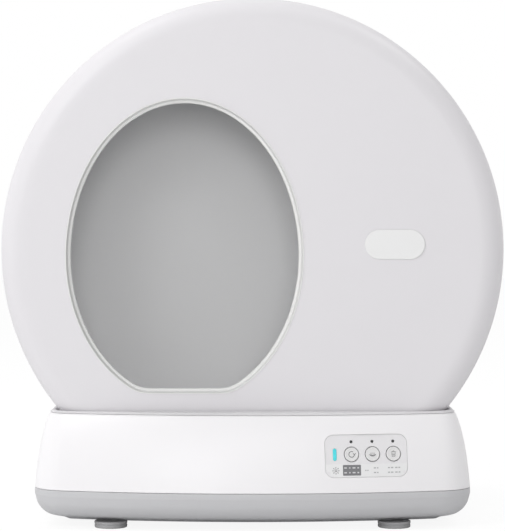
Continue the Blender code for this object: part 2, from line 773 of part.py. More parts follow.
def drum_magnet(axis):
    """Magnet of the position sensor, inside the rear half at its lowest point."""
    seat = DRUM_IN - 2 * GAP
    outline = circle((0.0, SENSOR_Y), MAGNET_R, TINY_STEPS)
    return finish(slab("drum_magnet", (outline,), -seat, MAGNET_HEIGHT - seat, "Z", axis), STEEL)


def deodoriser(axis):
    """Box for a scent block inside the rear face, with a slotted lid."""
    rear = INNER_HALF - GAP
    front = rear - SCENT_DEPTH
    half = SCENT_WIDTH / 2
    base = FLAT_R - SCENT_DROP
    high = base + SCENT_HEIGHT
    box = block("deodoriser_box", (-half, front, base), (half, rear, high), axis)
    hollow = block(
        "scent_cut", (SCENT_WALL - half, front - OVERRUN, base + SCENT_WALL),
        (half - SCENT_WALL, rear - SCENT_WALL, high - SCENT_WALL), axis,
    )
    finish(cut(box, hollow), GREY_PANEL)
    loops = [[(-half, base), (half, base), (half, high), (-half, high)]]
    pitch = SCENT_WIDTH / (SCENT_SLOTS + 1)
    for slot in range(SCENT_SLOTS):
        left = (slot + 1) * pitch - half - SCENT_SLOT / 2
        low, top = base + SCENT_SLOT, high - SCENT_SLOT
        loops.append([(left, low), (left + SCENT_SLOT, low), (left + SCENT_SLOT, top), (left, top)])
    lid = slab("deodoriser_lid", loops, front - GAP - SCENT_LID, front - GAP, "Y", axis)
    finish(lid, GREY_PANEL)


# Drive

def trough_reach():
    """How far the trough's underside lies from the drum's axis."""
    return DRUM_R + TROUGH_CLEAR + DECK_WALL


def motor_place():
    """Place of the motor's axis, just above the tray's floor and clear of the trough."""
    z = TRAY_UNDERSIDE + TRAY_WALL + GAP + GEARBOX_LOBE_R
    reach = trough_reach() + GEARBOX_LOBE_PLAY + GEARBOX_LOBE_R
    return (sqrt(reach**2 - (AXIS_Z - z) ** 2), z)


def pinion_angle():
    """Angle of the pinion round the drum from straight down, outwards of the motor."""
    x, z = motor_place()
    far = sqrt(x**2 + (AXIS_Z - z) ** 2)
    reach = RING_PITCH_R + PINION_PITCH_R
    apart = PINION_PITCH_R + ADDENDUM + MOTOR_PLAY + MOTOR_R
    return asin(x / far) + acos((reach**2 + far**2 - apart**2) / (2 * reach * far))


def pinion_place():
    """Place of the pinion's axis, and how far its first tooth is turned to mesh."""
    reach = RING_PITCH_R + PINION_PITCH_R
    x, z = round_drum(reach, pinion_angle())
    heading = pinion_angle() - pi / 2
    pitch = tau / RING_TEETH
    ahead = round(heading / pitch) * pitch - heading
    gap_heading = heading + pi - ahead * RING_TEETH / PINION_TEETH
    return x, z, gap_heading + pi / PINION_TEETH


def pinion_outline(phase):
    """Involute teeth round the pinion's axis."""
    root_r = PINION_PITCH_R - DEDENDUM
    base_r = PINION_PITCH_R * cos(PRESSURE_ANGLE)
    half = (pi * GEAR_MODULE / 4 - BACKLASH / 2) / PINION_PITCH_R
    flank = []
    for share in (0.0,) + FLANK_SHARES:
        radius = root_r + share * (ADDENDUM + DEDENDUM)
        slant = acos(base_r / max(radius, base_r))
        swing = half + tan(PRESSURE_ANGLE) - PRESSURE_ANGLE - tan(slant) + slant
        flank.append((radius, swing))
    points = []
    for tooth in range(PINION_TEETH):
        middle = phase + tau * tooth / PINION_TEETH
        for radius, swing in flank:
            points.append((radius * cos(middle - swing), radius * sin(middle - swing)))
        for radius, swing in reversed(flank):
            points.append((radius * cos(middle + swing), radius * sin(middle + swing)))
    return points


def drive_pinion():
    """Pinion on its shaft, which enters the gearbox."""
    x, z, phase = pinion_place()
    frame = empty("pinion_axis", (x, GROOVE_Y, z))
    half = PINION_WIDTH / 2
    pinion = slab("drive_pinion", (pinion_outline(phase),), -half, half, "Y", frame)
    core = circle((0.0, 0.0), PINION_SHAFT_R, TINY_STEPS)
    shaft = slab("shaft_add", (core,), -half - PINION_SHAFT_R, half + PINION_SHAFT_LENGTH, "Y", frame)
    return finish(join(pinion, shaft), PALE_NYLON)


def gearbox():
    """Gearbox behind the pinion, standing on the tray's floor at the motor's end."""
    x, z, phase = pinion_place()
    nose = RING_PITCH_R + PINION_PITCH_R - trough_reach() - GEARBOX_NOSE_PLAY
    outline = belt((x, z), nose, motor_place(), GEARBOX_LOBE_R, TINY_STEPS)
    bore = circle((x, z), PINION_SHAFT_R + GAP, TINY_STEPS)
    return finish(slab("gearbox", (outline, bore), GEARBOX_FRONT, GEARBOX_REAR), DARK_NYLON)


def motor():
    """Motor in front of the gearbox."""
    x, z = motor_place()
    rear = GEARBOX_FRONT - GAP
    front = rear - MOTOR_LENGTH
    profile = [
        (0.0, rear), (MOTOR_R, rear), (MOTOR_R, front), (MOTOR_END_R, front),
        (MOTOR_END_R, front - MOTOR_END_LENGTH), (0.0, front - MOTOR_END_LENGTH),
    ]
    body = lathe("motor", profile, SMALL_STEPS)
    body.location = (x, 0.0, z)
    return finish(body, STEEL)


# Rollers

def roller_places():
    """Name and axis of each support roller."""
    reach = DRUM_R + GAP + ROLLER_R
    places = []
    for end, y in (("front", ROLLER_FRONT_Y), ("rear", ROLLER_REAR_Y)):
        for side, angle in (("left", -ROLLER_ANGLE), ("right", ROLLER_ANGLE)):
            x, z = round_drum(reach, angle)
            places.append((end + "_" + side, x, y, z))
    return places


def roller_set():
    """Rollers under the drum, each on an axle in a bracket that a screw holds down."""
    floor = TRAY_UNDERSIDE + TRAY_WALL + GAP
    half = ROLLER_WIDTH / 2
    inner = half + EAR_PLAY
    outer = inner + EAR_WALL
    for name, x, y, z in roller_places():
        frame = empty("roller_axis_" + name, (x, y, z))
        bore_r = AXLE_R + GAP
        profile = [(bore_r, -half), (ROLLER_R, -half), (ROLLER_R, half), (bore_r, half)]
        finish(lathe("roller_" + name, profile, SMALL_STEPS, "Y", frame), DARK_RUBBER)
        rod = circle((0.0, 0.0), AXLE_R, TINY_STEPS)
        finish(slab("axle_" + name, (rod,), -outer, outer, "Y", frame), STEEL)
        bracket = block(
            "bracket_" + name, (x - BRACKET_FOOT / 2, y - outer, floor),
            (x + BRACKET_FOOT / 2, y + outer, floor + EAR_WALL),
        )
        bore = circle((x, z), AXLE_R + GAP, TINY_STEPS)
        foot = [(x + side * BRACKET_FOOT / 2, floor + EAR_WALL / 2) for side in (-1, 1)]
        ear = foot + arc((x, z), EAR_R, 0.0, pi, TINY_STEPS // 2)
        for end, low in (("a", y - outer), ("b", y + inner)):
            join(bracket, slab("ear_" + name + end, (ear, bore), low, low + EAR_WALL))
        hole = circle((x, y), SCREW_R + GAP, TINY_STEPS)
        cut(bracket, slab("bracket_cut_" + name, (hole,), 0.0, floor + OVERRUN, "Z"))
        finish(bracket, GREY_DECK)
        seat = floor + EAR_WALL + GAP
        shank = [
            (0.0, TRAY_UNDERSIDE + GAP), (SCREW_R, TRAY_UNDERSIDE + GAP), (SCREW_R, seat),
            (SCREW_HEAD_R, seat), (SCREW_HEAD_R, seat + SCREW_HEAD), (0.0, seat + SCREW_HEAD),
        ]
        screw = lathe("bracket_screw_" + name, shank, TINY_STEPS, "Z")
        screw.location = (x, y, 0.0)
        finish(screw, STEEL)


# Base

def base_lower_tray():
    """Grey tray at the bottom, with pads over the feet and holes for the bracket screws."""
    top = SEAM_Z - GAP
    outer = [
        (inset * TRAY_INSET, TRAY_UNDERSIDE + up * (top - TRAY_UNDERSIDE)) for inset, up in TRAY_SIDE_SHARES
    ]
    inner = [(inset + TRAY_WALL, z + TRAY_WALL) for inset, z in outer[2:]]
    path = outer[::-1] + [(TRAY_WALL, top), (TRAY_WALL, outer[1][1])] + inner
    tray = loft("base_lower_tray", [base_plan(inset, z) for inset, z in path])
    for place in foot_places().values():
        pad = circle(place, PAD_R, SMALL_STEPS)
        high = TRAY_UNDERSIDE + PAD_HEIGHT
        join(tray, slab("pad_add", (pad,), TRAY_UNDERSIDE, high, "Z"))
    for name, x, y, z in roller_places():
        hole = circle((x, y), SCREW_R + GAP, TINY_STEPS)
        cut(tray, slab("screw_cut_" + name, (hole,), 0.0, TRAY_UNDERSIDE + OVERRUN, "Z"))
    return finish(tray, GREY_TRAY)


def wall_loft(name, sink, thick):
    """The upper casing's wall from the seam to the deck, its outer face sunk by a little."""
    top = RIM_Z - DECK_WALL - GAP
    heights = [SEAM_Z + up * (RIM_Z - SEAM_Z) for inset, up in UPPER_SIDE_SHARES]
    heights = [z for z in heights if z < top] + [top]
    outer = [(wall_inset(z) + sink, z) for z in heights]
    inner = [(inset + thick, z) for inset, z in outer[:1] + outer[2:-2] + outer[-1:]][::-1]
    return loft(name, [base_plan(inset, z) for inset, z in outer + inner], True)


def skin_frame(name, x, z, side, reach):
    """A frame on the casing's front (-1) or rear (1), with its Y axis pointing inwards."""
    radius = BOW_R - wall_inset(z)
    y = sqrt(radius**2 - x**2) - (BOW_R - base_half_depth())
    turn = asin(x / radius)
    lean = atan2(wall_inset(z + reach) - wall_inset(z - reach), 2 * reach)
    heading = turn if side < 0 else pi - turn
    return empty(name, (x, side * y, z), (-lean, 0.0, heading))


def base_upper_shell(panel, jack):
    """White upper casing with the panel's opening and the inlet's hole."""
    shell = wall_loft("base_upper_shell", 0.0, SHELL_WALL)
    opening = round_box((0.0, 0.0), PANEL_WIDTH, PANEL_HEIGHT, PANEL_CORNER_R)
    inlet = circle((0.0, 0.0), JACK_FLANGE_R + GAP, SMALL_STEPS)
    cut(
        shell, slab("panel_cut", (opening,), -OVERRUN, OVERRUN, "Y", panel),
        slab("inlet_cut", (inlet,), -OVERRUN, OVERRUN, "Y", jack),
    )
    return finish(shell, WHITE_SHELL)


def cradle_deck():
    """Trough that follows the drum, with a flange that lies on the casing's rim."""
    low = RIM_Z - DECK_WALL
    deck = loft("cradle_deck", [base_plan(wall_inset(z), z) for z in (low, RIM_Z)])
    belly = drum_body("belly_add", TROUGH_CLEAR + DECK_WALL)
    reach = max(DRUM_R, DRUM_HALF) + OVERRUN
    below = block("belly_keep", (-reach, -reach, 0.0), (reach, reach, RIM_Z - DECK_WALL / 2))
    hollow = drum_body("trough_cut", TROUGH_CLEAR)
    for body in (belly, hollow):
        body.location = (0.0, 0.0, AXIS_Z)
    cut(join(deck, combine(belly, below, "INTERSECT")), hollow)
    for name, x, y, z in roller_places():
        angle = ROLLER_ANGLE if x > 0 else -ROLLER_ANGLE
        cut(deck, window("roller_cut_" + name, angle, y, ROLLER_R, ROLLER_WIDTH))
    cut(deck, window("pinion_cut", pinion_angle(), GROOVE_Y, PINION_PITCH_R + ADDENDUM, PINION_WIDTH))
    return finish(deck, GREY_DECK)


def window(name, angle, y, radius, width):
    """A cutter through the trough's wall for a wheel that reaches through it."""
    half = width / 2 + WINDOW_CLEAR
    trough = DRUM_R + TROUGH_CLEAR
    cutter = block(name, (-radius, -half, -trough - OVERRUN), (radius, half, OVERRUN - trough))
    cutter.location = (0.0, y, AXIS_Z)
    cutter.rotation_euler = (0.0, -angle, 0.0)
    return cutter


def foot_places():
    """Name and middle of each foot, a little inside the base's corners."""
    x = base_half_width() - FOOT_IN_X
    y = base_half_depth() - FOOT_IN_Y
    return {"front_left": (-x, -y), "front_right": (x, -y), "rear_left": (-x, y), "rear_right": (x, y)}


def feet_and_cells():
    """A foot under each pad and a load cell on top of it."""
    top = TRAY_UNDERSIDE - GAP
    profile = [
        (0.0, 0.0), (FOOT_R - FOOT_CHAMFER, 0.0), (FOOT_R, FOOT_CHAMFER), (FOOT_R, top), (0.0, top),
    ]
    for name, (x, y) in foot_places().items():
        foot = lathe("foot_" + name, profile, SMALL_STEPS, "Z")
        foot.location = (x, y, 0.0)
        finish(foot, DARK_RUBBER)
        low = TRAY_UNDERSIDE + PAD_HEIGHT + GAP
        cell = block(
            "load_cell_" + name, (x - CELL_LENGTH / 2, y - CELL_WIDTH / 2, low),
            (x + CELL_LENGTH / 2, y + CELL_WIDTH / 2, low + CELL_HEIGHT),
        )
        finish(cell, STEEL)


def position_sensor():
    """Sensor under the trough, below the drum's magnet."""
    top = DRUM_LIFT - TROUGH_CLEAR - DECK_WALL - GAP
    half = SENSOR_SIZE / 2
    low = top - SENSOR_HEIGHT
    return finish(
        block("position_sensor", (-half, SENSOR_Y - half, low), (half, SENSOR_Y + half, top)), DARK_NYLON,
    )


def power_jack(frame):
    """Inlet for the power adapter, with its centre pin."""
    end = JACK_SINK + JACK_DEPTH
    profile = [
        (0.0, JACK_SINK + JACK_FLANGE), (JACK_PIN_R, JACK_SINK + JACK_FLANGE), (JACK_PIN_R, end),
        (JACK_BORE_R, end), (JACK_BORE_R, JACK_SINK), (JACK_FLANGE_R, JACK_SINK),
        (JACK_FLANGE_R, JACK_SINK + JACK_FLANGE), (JACK_BODY_R, JACK_SINK + JACK_FLANGE),
        (JACK_BODY_R, JACK_LENGTH), (0.0, JACK_LENGTH),
    ]
    return finish(lathe("power_jack", profile, SMALL_STEPS, "Y", frame), DARK_NYLON)


# Control panel

def button_places():
    """Name and middle of each button in the panel's frame."""
    names = ("button_clean", "button_level", "button_empty")
    return [(name, BUTTON_ROW_X + step * BUTTON_PITCH) for name, step in zip(names, (-1, 0, 1))]


def bar_outline(play):
    """The light bar's outline, widened by a play."""
    radius = BAR_WIDTH / 2
    reach = BAR_HEIGHT / 2 - radius
    low, high = (BAR_X, BUTTON_ROW_Z - reach), (BAR_X, BUTTON_ROW_Z + reach)
    return belt(low, radius + play, high, radius + play, TINY_STEPS // 2)


def panel_fascia(frame):
    """Panel that follows the casing's curve, with a sunk field for the buttons."""
    fascia = wall_loft("panel_fascia", PANEL_SINK, PANEL_THICK)
    outline = round_box((0.0, 0.0), PANEL_WIDTH - 2 * GAP, PANEL_HEIGHT - 2 * GAP, PANEL_CORNER_R - GAP)
    combine(fascia, slab("panel_keep", (outline,), -OVERRUN, OVERRUN, "Y", frame), "INTERSECT")
    width = PANEL_WIDTH - 2 * RECESS_RIM
    height = RECESS_HEIGHT - RECESS_RIM
    middle = PANEL_HEIGHT / 2 - RECESS_RIM - height / 2
    field = round_box((0.0, middle), width, height, PANEL_CORNER_R - RECESS_RIM)
    cut(fascia, slab("field_cut", (field,), -OVERRUN, RECESS_DEPTH, "Y", frame))
    for x, z in post_places():
        post = circle((x, z), POST_R, TINY_STEPS)
        start = PANEL_SINK + PANEL_THICK - POST_ROOT
        join(fascia, slab("post_add", (post,), start, BOARD_Y - GAP, "Y", frame))
    for name, x in button_places():
        hole = circle((x, BUTTON_ROW_Z), BUTTON_R + BUTTON_PLAY, SMALL_STEPS)
        cut(fascia, slab("hole_" + name, (hole,), -OVERRUN, OVERRUN, "Y", frame))
        lamp = circle((x, LAMP_ROW_Z), LAMP_R + GAP, TINY_STEPS)
        cut(fascia, slab("lamp_" + name, (lamp,), -OVERRUN, OVERRUN, "Y", frame))
    cut(fascia, slab("bar_cut", (bar_outline(GAP),), -OVERRUN, OVERRUN, "Y", frame))
    return finish(fascia, GREY_PANEL)


def post_places():
    """Middles of the posts that carry the board."""
    x = BOARD_WIDTH / 2 - POST_INSET
    z = BOARD_HEIGHT / 2 - POST_INSET
    return [(side * x, rise * z) for side in (-1, 1) for rise in (-1, 1)]


def panel_parts(frame):
    """Buttons, lamp windows, light bar and the board behind them."""
    front = RECESS_DEPTH - BUTTON_PROUD
    flange = BUTTON_FLANGE_Y + BUTTON_FLANGE
    stem = BOARD_Y - BUTTON_TRAVEL - GAP
    profile = [
        (0.0, front), (BUTTON_R, front), (BUTTON_R, BUTTON_FLANGE_Y),
        (BUTTON_FLANGE_R, BUTTON_FLANGE_Y), (BUTTON_FLANGE_R, flange),
        (BUTTON_STEM_R, flange), (BUTTON_STEM_R, stem), (0.0, stem),
    ]
    for name, x in button_places():
        spring = empty("axis_" + name, (x, 0.0, BUTTON_ROW_Z), parent=frame)
        finish(lathe(name, profile, SMALL_STEPS, "Y", spring), WHITE_KEY)
        lamp = circle((x, LAMP_ROW_Z), LAMP_R, TINY_STEPS)
        start = RECESS_DEPTH - LAMP_PROUD
        lens = slab(name.replace("button", "lamp"), (lamp,), start, start + LAMP_LENGTH, "Y", frame)
        finish(lens, DARK_LAMP)
    start = RECESS_DEPTH - LAMP_PROUD
    bar = slab("light_bar", (bar_outline(0.0),), start, start + LAMP_LENGTH, "Y", frame)
    finish(bar, CYAN_LAMP)
    right, up = BOARD_WIDTH / 2, BOARD_HEIGHT / 2
    board = block("control_board", (-right, BOARD_Y, -up), (right, BOARD_Y + BOARD_WALL, up), frame)
    finish(board, GREEN_BOARD)


def build():
    """Make the whole litter box."""
    for old in list(bpy.data.objects):
        bpy.data.objects.remove(old, do_unlink=True)
    axis = empty("drum_axis", (0.0, 0.0, AXIS_Z))
    slide = empty("bin_slide_axis", (0.0, 0.0, 0.0), parent=axis)
    panel_x, jack_x = base_half_width() - PANEL_SIDE, JACK_SIDE - base_half_width()
    panel = skin_frame("panel_frame", panel_x, PANEL_Z, -1, PANEL_HEIGHT / 2)
    jack = skin_frame("jack_frame", jack_x, JACK_Z, 1, JACK_FLANGE_R)
    for make in (front_shell, rear_shell, ring_gear, litter_liner, opening_trim, face_badge):
        make(axis)
    for make in (bin_housing, bin_flap, flap_pin, sieve_grid, drum_magnet, deodoriser):
        make(axis)
    for make in (waste_bin, bin_cover, bin_latch):
        make(slide)
    drive_pinion()
    gearbox()
    motor()
    roller_set()
    base_lower_tray()
    base_upper_shell(panel, jack)
    cradle_deck()
    feet_and_cells()
    position_sensor()
    power_jack(jack)
    panel_fascia(panel)
    panel_parts(panel)


build()
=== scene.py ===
from math import acos, atan2, cos, pi, radians, sin, sqrt, tan, tau

import bmesh
import bpy
import numpy as np
from mathutils import Matrix, Vector


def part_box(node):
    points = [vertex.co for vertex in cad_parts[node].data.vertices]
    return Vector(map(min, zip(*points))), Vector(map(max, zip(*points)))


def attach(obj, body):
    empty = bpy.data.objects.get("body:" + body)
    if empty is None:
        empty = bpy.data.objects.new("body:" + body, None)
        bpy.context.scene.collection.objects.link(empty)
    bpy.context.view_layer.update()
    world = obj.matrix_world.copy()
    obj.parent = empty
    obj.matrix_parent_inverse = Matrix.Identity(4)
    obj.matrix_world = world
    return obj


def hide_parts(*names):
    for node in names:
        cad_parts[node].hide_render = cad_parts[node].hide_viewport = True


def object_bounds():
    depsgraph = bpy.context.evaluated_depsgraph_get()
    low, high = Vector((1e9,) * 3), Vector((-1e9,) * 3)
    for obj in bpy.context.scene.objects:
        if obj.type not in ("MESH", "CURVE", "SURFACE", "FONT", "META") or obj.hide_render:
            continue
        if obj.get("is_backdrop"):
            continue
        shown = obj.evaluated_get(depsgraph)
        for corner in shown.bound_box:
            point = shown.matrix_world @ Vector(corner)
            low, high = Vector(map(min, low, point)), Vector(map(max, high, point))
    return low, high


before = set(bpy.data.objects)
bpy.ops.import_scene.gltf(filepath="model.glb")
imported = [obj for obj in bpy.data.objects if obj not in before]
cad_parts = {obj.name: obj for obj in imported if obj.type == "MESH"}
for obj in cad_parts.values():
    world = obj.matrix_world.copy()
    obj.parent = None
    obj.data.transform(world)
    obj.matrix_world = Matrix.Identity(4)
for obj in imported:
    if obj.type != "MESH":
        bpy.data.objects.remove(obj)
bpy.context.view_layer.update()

scene = bpy.context.scene
scene.view_settings.view_transform = "Standard"
print("frame loaded:", len(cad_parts), "nodes")


# Surfaces: each is a grid of points, rows round it and columns along it

weld = {"distance": 1e-6, "pole": 1e-7, "sharp": 0.6}  # metres, metres, radians
oneLook = 10 ** 6  # a second look that would start past every grid's last column


def gridFaces(rows, cols, first, endless):
    # corner numbers of a grid's quads; rows close on themselves, columns too if endless
    r, c = np.meshgrid(np.arange(rows), np.arange(cols if endless else cols - 1), indexing="ij")
    r, c = r.ravel(), c.ravel()
    after, beside = (r + 1) % rows, (c + 1) % cols
    corners = np.stack([r * cols + c, after * cols + c, after * cols + beside, r * cols + beside], 1)
    return first + corners, c


def smooth(mesh):
    mesh.shade_smooth()
    mesh.set_sharp_from_angle(angle=weld["sharp"])


def linked(name, data):
    made = bpy.data.objects.new(name, data)
    scene.collection.objects.link(made)
    return made


def merge(mesh, alsoDo):
    # doubles go, then one more step is taken on the mesh
    bm = bmesh.new()
    bm.from_mesh(mesh)
    bmesh.ops.remove_doubles(bm, verts=bm.verts[:], dist=weld["distance"])
    alsoDo(bm)
    bm.to_mesh(mesh)
    bm.free()
    smooth(mesh)


def shape(name, *grids):
    # one mesh of several grids; a grid is points, endless or not, and the column its second look starts at
    points, faces, looks, first = [], [], [], 0
    for at, endless, second in grids:
        rows, cols = at.shape[:2]
        quads, column = gridFaces(rows, cols, first, endless)
        points.append(at.reshape(-1, 3))
        faces += quads.tolist()
        looks += (column >= second).astype(int).tolist()
        for end in () if endless else (0, cols - 1):  # flat ends, unless they are poles
            if np.ptp(at[:, end], axis=0).max() > weld["pole"]:
                faces.append((first + np.arange(rows) * cols + end).tolist())
                looks.append(int(end >= second))
        first += rows * cols
    mesh = bpy.data.meshes.new(name)
    mesh.from_pydata(np.concatenate(points).tolist(), [], faces)
    mesh.polygons.foreach_set("material_index", looks)
    merge(mesh, lambda bm: bmesh.ops.recalc_face_normals(bm, faces=bm.faces[:]))
    return linked(name, mesh)


def sweep(rings, endless=False, second=oneLook):
    # rings of equal length, laid side by side as the columns of a grid
    return np.stack(rings, 1), endless, second


def standing(flat, y, lift=0.0):
    # a flat outline of (x, z) stood up at one depth y, and lifted
    return np.stack([flat[:, 0], np.full(len(flat), y), lift + flat[:, 1]], 1)


def lying(flat, z):
    # a flat outline of (x, y) laid at one height z
    return np.column_stack([flat, np.full(len(flat), z)])


def rectangle(x0, z0, x1, z1):
    return [(x0, z0), (x1, z0), (x1, z1), (x0, z1)]


def fullTurn(count):
    return np.linspace(0, tau, count, endpoint=False)


def circle(angle):
    return np.stack([np.cos(angle), np.sin(angle)], 1)


def quarter(radius, steps):
    # a quarter circle that eases an edge: how far in and how far short of the edge each point lies
    return [(radius * (1 - x), radius * (1 - y)) for x, y in circle(np.linspace(pi / 2, 0, steps + 1))]


def rounded(corners, bends, steps=5, loop=False):
    # each corner becomes an arc of its bend's radius that touches both its sides; one bend may do for all
    corners, made = np.array(corners, float), []
    for index, radius in enumerate(np.broadcast_to(bends, len(corners))):
        corner = corners[index]
        if radius == 0 or (not loop and index in (0, len(corners) - 1)):
            made.append(corner[None])
            continue
        back, ahead = corners[index - 1] - corner, corners[(index + 1) % len(corners)] - corner
        back, ahead = back / np.linalg.norm(back), ahead / np.linalg.norm(ahead)
        half = acos(float(back @ ahead)) / 2
        middle = corner + (back + ahead) / np.linalg.norm(back + ahead) * radius / sin(half)
        start, end = corner + back * radius / tan(half) - middle, corner + ahead * radius / tan(half) - middle
        turned = atan2(start[0] * end[1] - start[1] * end[0], float(start @ end))
        angle = atan2(start[1], start[0]) + turned * np.linspace(0, 1, steps + 1)
        made.append(middle + radius * circle(angle))
    return np.concatenate(made)


def turnedGrid(profile, around):
    # a profile of (radius, along) carried round the Y axis: x = r cos a, z = r sin a
    profile = np.asarray(profile, float)
    turn = fullTurn(around)[:, None]
    r, along = profile[:, 0][None], np.broadcast_to(profile[:, 1], (around, len(profile)))
    return np.stack([r * np.cos(turn), along, r * np.sin(turn)], -1), False, oneLook


def placed(grid, matrix):
    # the same grid in another place
    at, endless, second = grid
    matrix = np.array(matrix)
    return at @ matrix[:3, :3].T + matrix[:3, 3], endless, second


def prism(outline, low, high):
    # a flat outline of (x, z) carried along Y
    return sweep([standing(np.asarray(outline, float), y) for y in (low, high)])


def box(low, high):
    return prism(rectangle(low[0], low[2], high[0], high[2]), low[1], high[1])


def carve(piece, *cuts):
    # each cut is an operation and a tool; the tool goes once its cut is in the mesh
    for operation, tool in cuts:
        step = piece.modifiers.new(tool.name, "BOOLEAN")
        step.operation, step.solver, step.object = operation, "EXACT", tool
    mesh = bpy.data.meshes.new_from_object(piece.evaluated_get(bpy.context.evaluated_depsgraph_get()))
    piece.modifiers.clear()
    piece.data = mesh
    for operation, tool in cuts:
        bpy.data.objects.remove(tool)
    smooth(mesh)
    return piece


def settle(piece, looks, body, slot, *nodes):
    # finish a piece: its looks, the body that it rides on and the CAD nodes it stands for; the slot is not used
    faces = piece.data.polygons
    which = np.zeros(len(faces), np.int32)
    faces.foreach_get("material_index", which)
    piece.data.materials.clear()  # this sets every face back to the first look
    for look in looks:
        piece.data.materials.append(look.material)
    faces.foreach_set("material_index", np.minimum(which, len(looks) - 1))
    even = piece.modifiers.new("evenShading", "WEIGHTED_NORMAL")
    even.keep_sharp = True
    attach(piece, body)
    if nodes:
        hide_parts(*nodes)
    return piece


# Materials: values are written as sums, and a node's output carries the operators

class Wire:
    def __init__(self, nodes, socket):
        self.nodes, self.socket = nodes, socket

    def maths(self, operation, first, second):
        return self.nodes.node("ShaderNodeMath", {"operation": operation}, {0: first, 1: second})

    def __add__(self, other):
        return self.maths("ADD", self, other)

    def __rsub__(self, other):
        return self.maths("SUBTRACT", other, self)

    def __mul__(self, other):
        return self.maths("MULTIPLY", self, other)

    __radd__, __rmul__ = __add__, __mul__


class Nodes:
    def __init__(self, tree):
        self.tree = tree

    def node(self, kind, settings=None, values=None, output=0):
        made = self.tree.nodes.new(kind)
        for key, value in (settings or {}).items():
            setattr(made, key, value)
        for key, value in (values or {}).items():
            if isinstance(value, Wire):
                self.tree.links.new(value.socket, made.inputs[key])
            else:
                made.inputs[key].default_value = value
        return None if output is None else Wire(self, made.outputs[output])

    def blend(self, share, first, second):
        values = {0: share, 6: (*first, 1.0), 7: (*second, 1.0)}
        return self.node("ShaderNodeMix", {"data_type": "RGBA"}, values, 2)


class Look(Nodes):
    def __init__(self, name, roughness, metallic=0.0, coat=0.0):
        self.material = bpy.data.materials.new(name)
        self.material.use_nodes = True
        super().__init__(self.material.node_tree)
        self.shader = self.tree.nodes["Principled BSDF"]
        self.shader.inputs["Roughness"].default_value = roughness
        self.shader.inputs["Metallic"].default_value = metallic
        self.shader.inputs["Coat Weight"].default_value = coat
        self.at = self.node("ShaderNodeTexCoord", output="Object")

    def drive(self, socket, wire):
        self.tree.links.new(wire.socket, self.shader.inputs[socket])

    def noise(self, size, detail=2.0, stretch=(1, 1, 1)):
        # a noise whose patches are about this many metres across
        at = self.node("ShaderNodeMapping", None, {"Vector": self.at, "Scale": stretch})
        return self.node("ShaderNodeTexNoise", None, {"Vector": at, "Scale": 1 / size, "Detail": detail})

    def relief(self, height, depth):
        bump = self.node("ShaderNodeBump", None, {"Distance": depth, "Height": height})
        self.drive("Normal", bump)


def shade(colour, factor):
    return tuple(min(1.0, part * factor) for part in colour)


moulding = {"patch": 0.14, "less": 0.07, "byDrift": 0.08, "bySpeck": 0.06}


def plastic(name, colour, roughness, grain=0.0007, depth=0.000015, tone=0.012):
    # moulded plastic: a slow drift of tone, a fine spark-eroded grain, and gloss that follows both
    look = Look(name, roughness)
    drift, speck = look.noise(moulding["patch"], 3.0), look.noise(grain, 1.0)
    look.drive("Base Color", look.blend(drift, shade(colour, 1 - tone), shade(colour, 1 + tone)))
    dull = roughness - moulding["less"] + drift * moulding["byDrift"] + speck * moulding["bySpeck"]
    look.drive("Roughness", dull)
    look.relief(speck, depth)
    return look


plating = {"line": 0.0008, "shades": (0.9, 1.1), "less": 0.08, "byLines": 0.16, "depth": 0.000008}


def metal(name, colour, roughness, stretch):
    # plated steel with fine lines from rolling or turning
    look = Look(name, roughness, metallic=1.0)
    lines = look.noise(plating["line"], 3.0, stretch)
    look.drive("Base Color", look.blend(lines, *[shade(colour, part) for part in plating["shades"]]))
    look.drive("Roughness", roughness - plating["less"] + lines * plating["byLines"])
    look.relief(lines, plating["depth"])
    return look


board = {
    "roughness": 0.4, "coat": 0.3, "mask": (0.02, 0.13, 0.05), "track": (0.06, 0.30, 0.12),
    "trackSize": 0.003, "stretch": 12, "level": 1.12, "depth": 0.00004,
}


def circuitBoard(name):
    # solder mask with paler tracks, where two crossed bands of a stretched noise add up past a level
    look = Look(name, board["roughness"], coat=board["coat"])
    size, stretch = board["trackSize"], board["stretch"]
    bands = look.noise(size, 0.0, (stretch, 1, 1)) + look.noise(size, 0.0, (1, 1, stretch))
    tracks = bands.maths("GREATER_THAN", bands, board["level"])
    look.drive("Base Color", look.blend(tracks, board["mask"], board["track"]))
    look.relief(tracks, board["depth"])
    return look


clearLens = {"roughness": 0.3, "coat": 0.5, "cloud": 0.004, "shades": (0.85, 1.1), "glowShades": (0.95, 1.05)}


def lamp(name, colour, glow):
    # a clear lens with a faint cloud in its colour and in its light
    look = Look(name, clearLens["roughness"], coat=clearLens["coat"])
    cloud = look.noise(clearLens["cloud"])
    look.drive("Base Color", look.blend(cloud, *[shade(colour, part) for part in clearLens["shades"]]))
    look.drive("Emission Color", look.blend(cloud, *[shade(colour, part) for part in clearLens["glowShades"]]))
    look.shader.inputs["Emission Strength"].default_value = glow
    return look


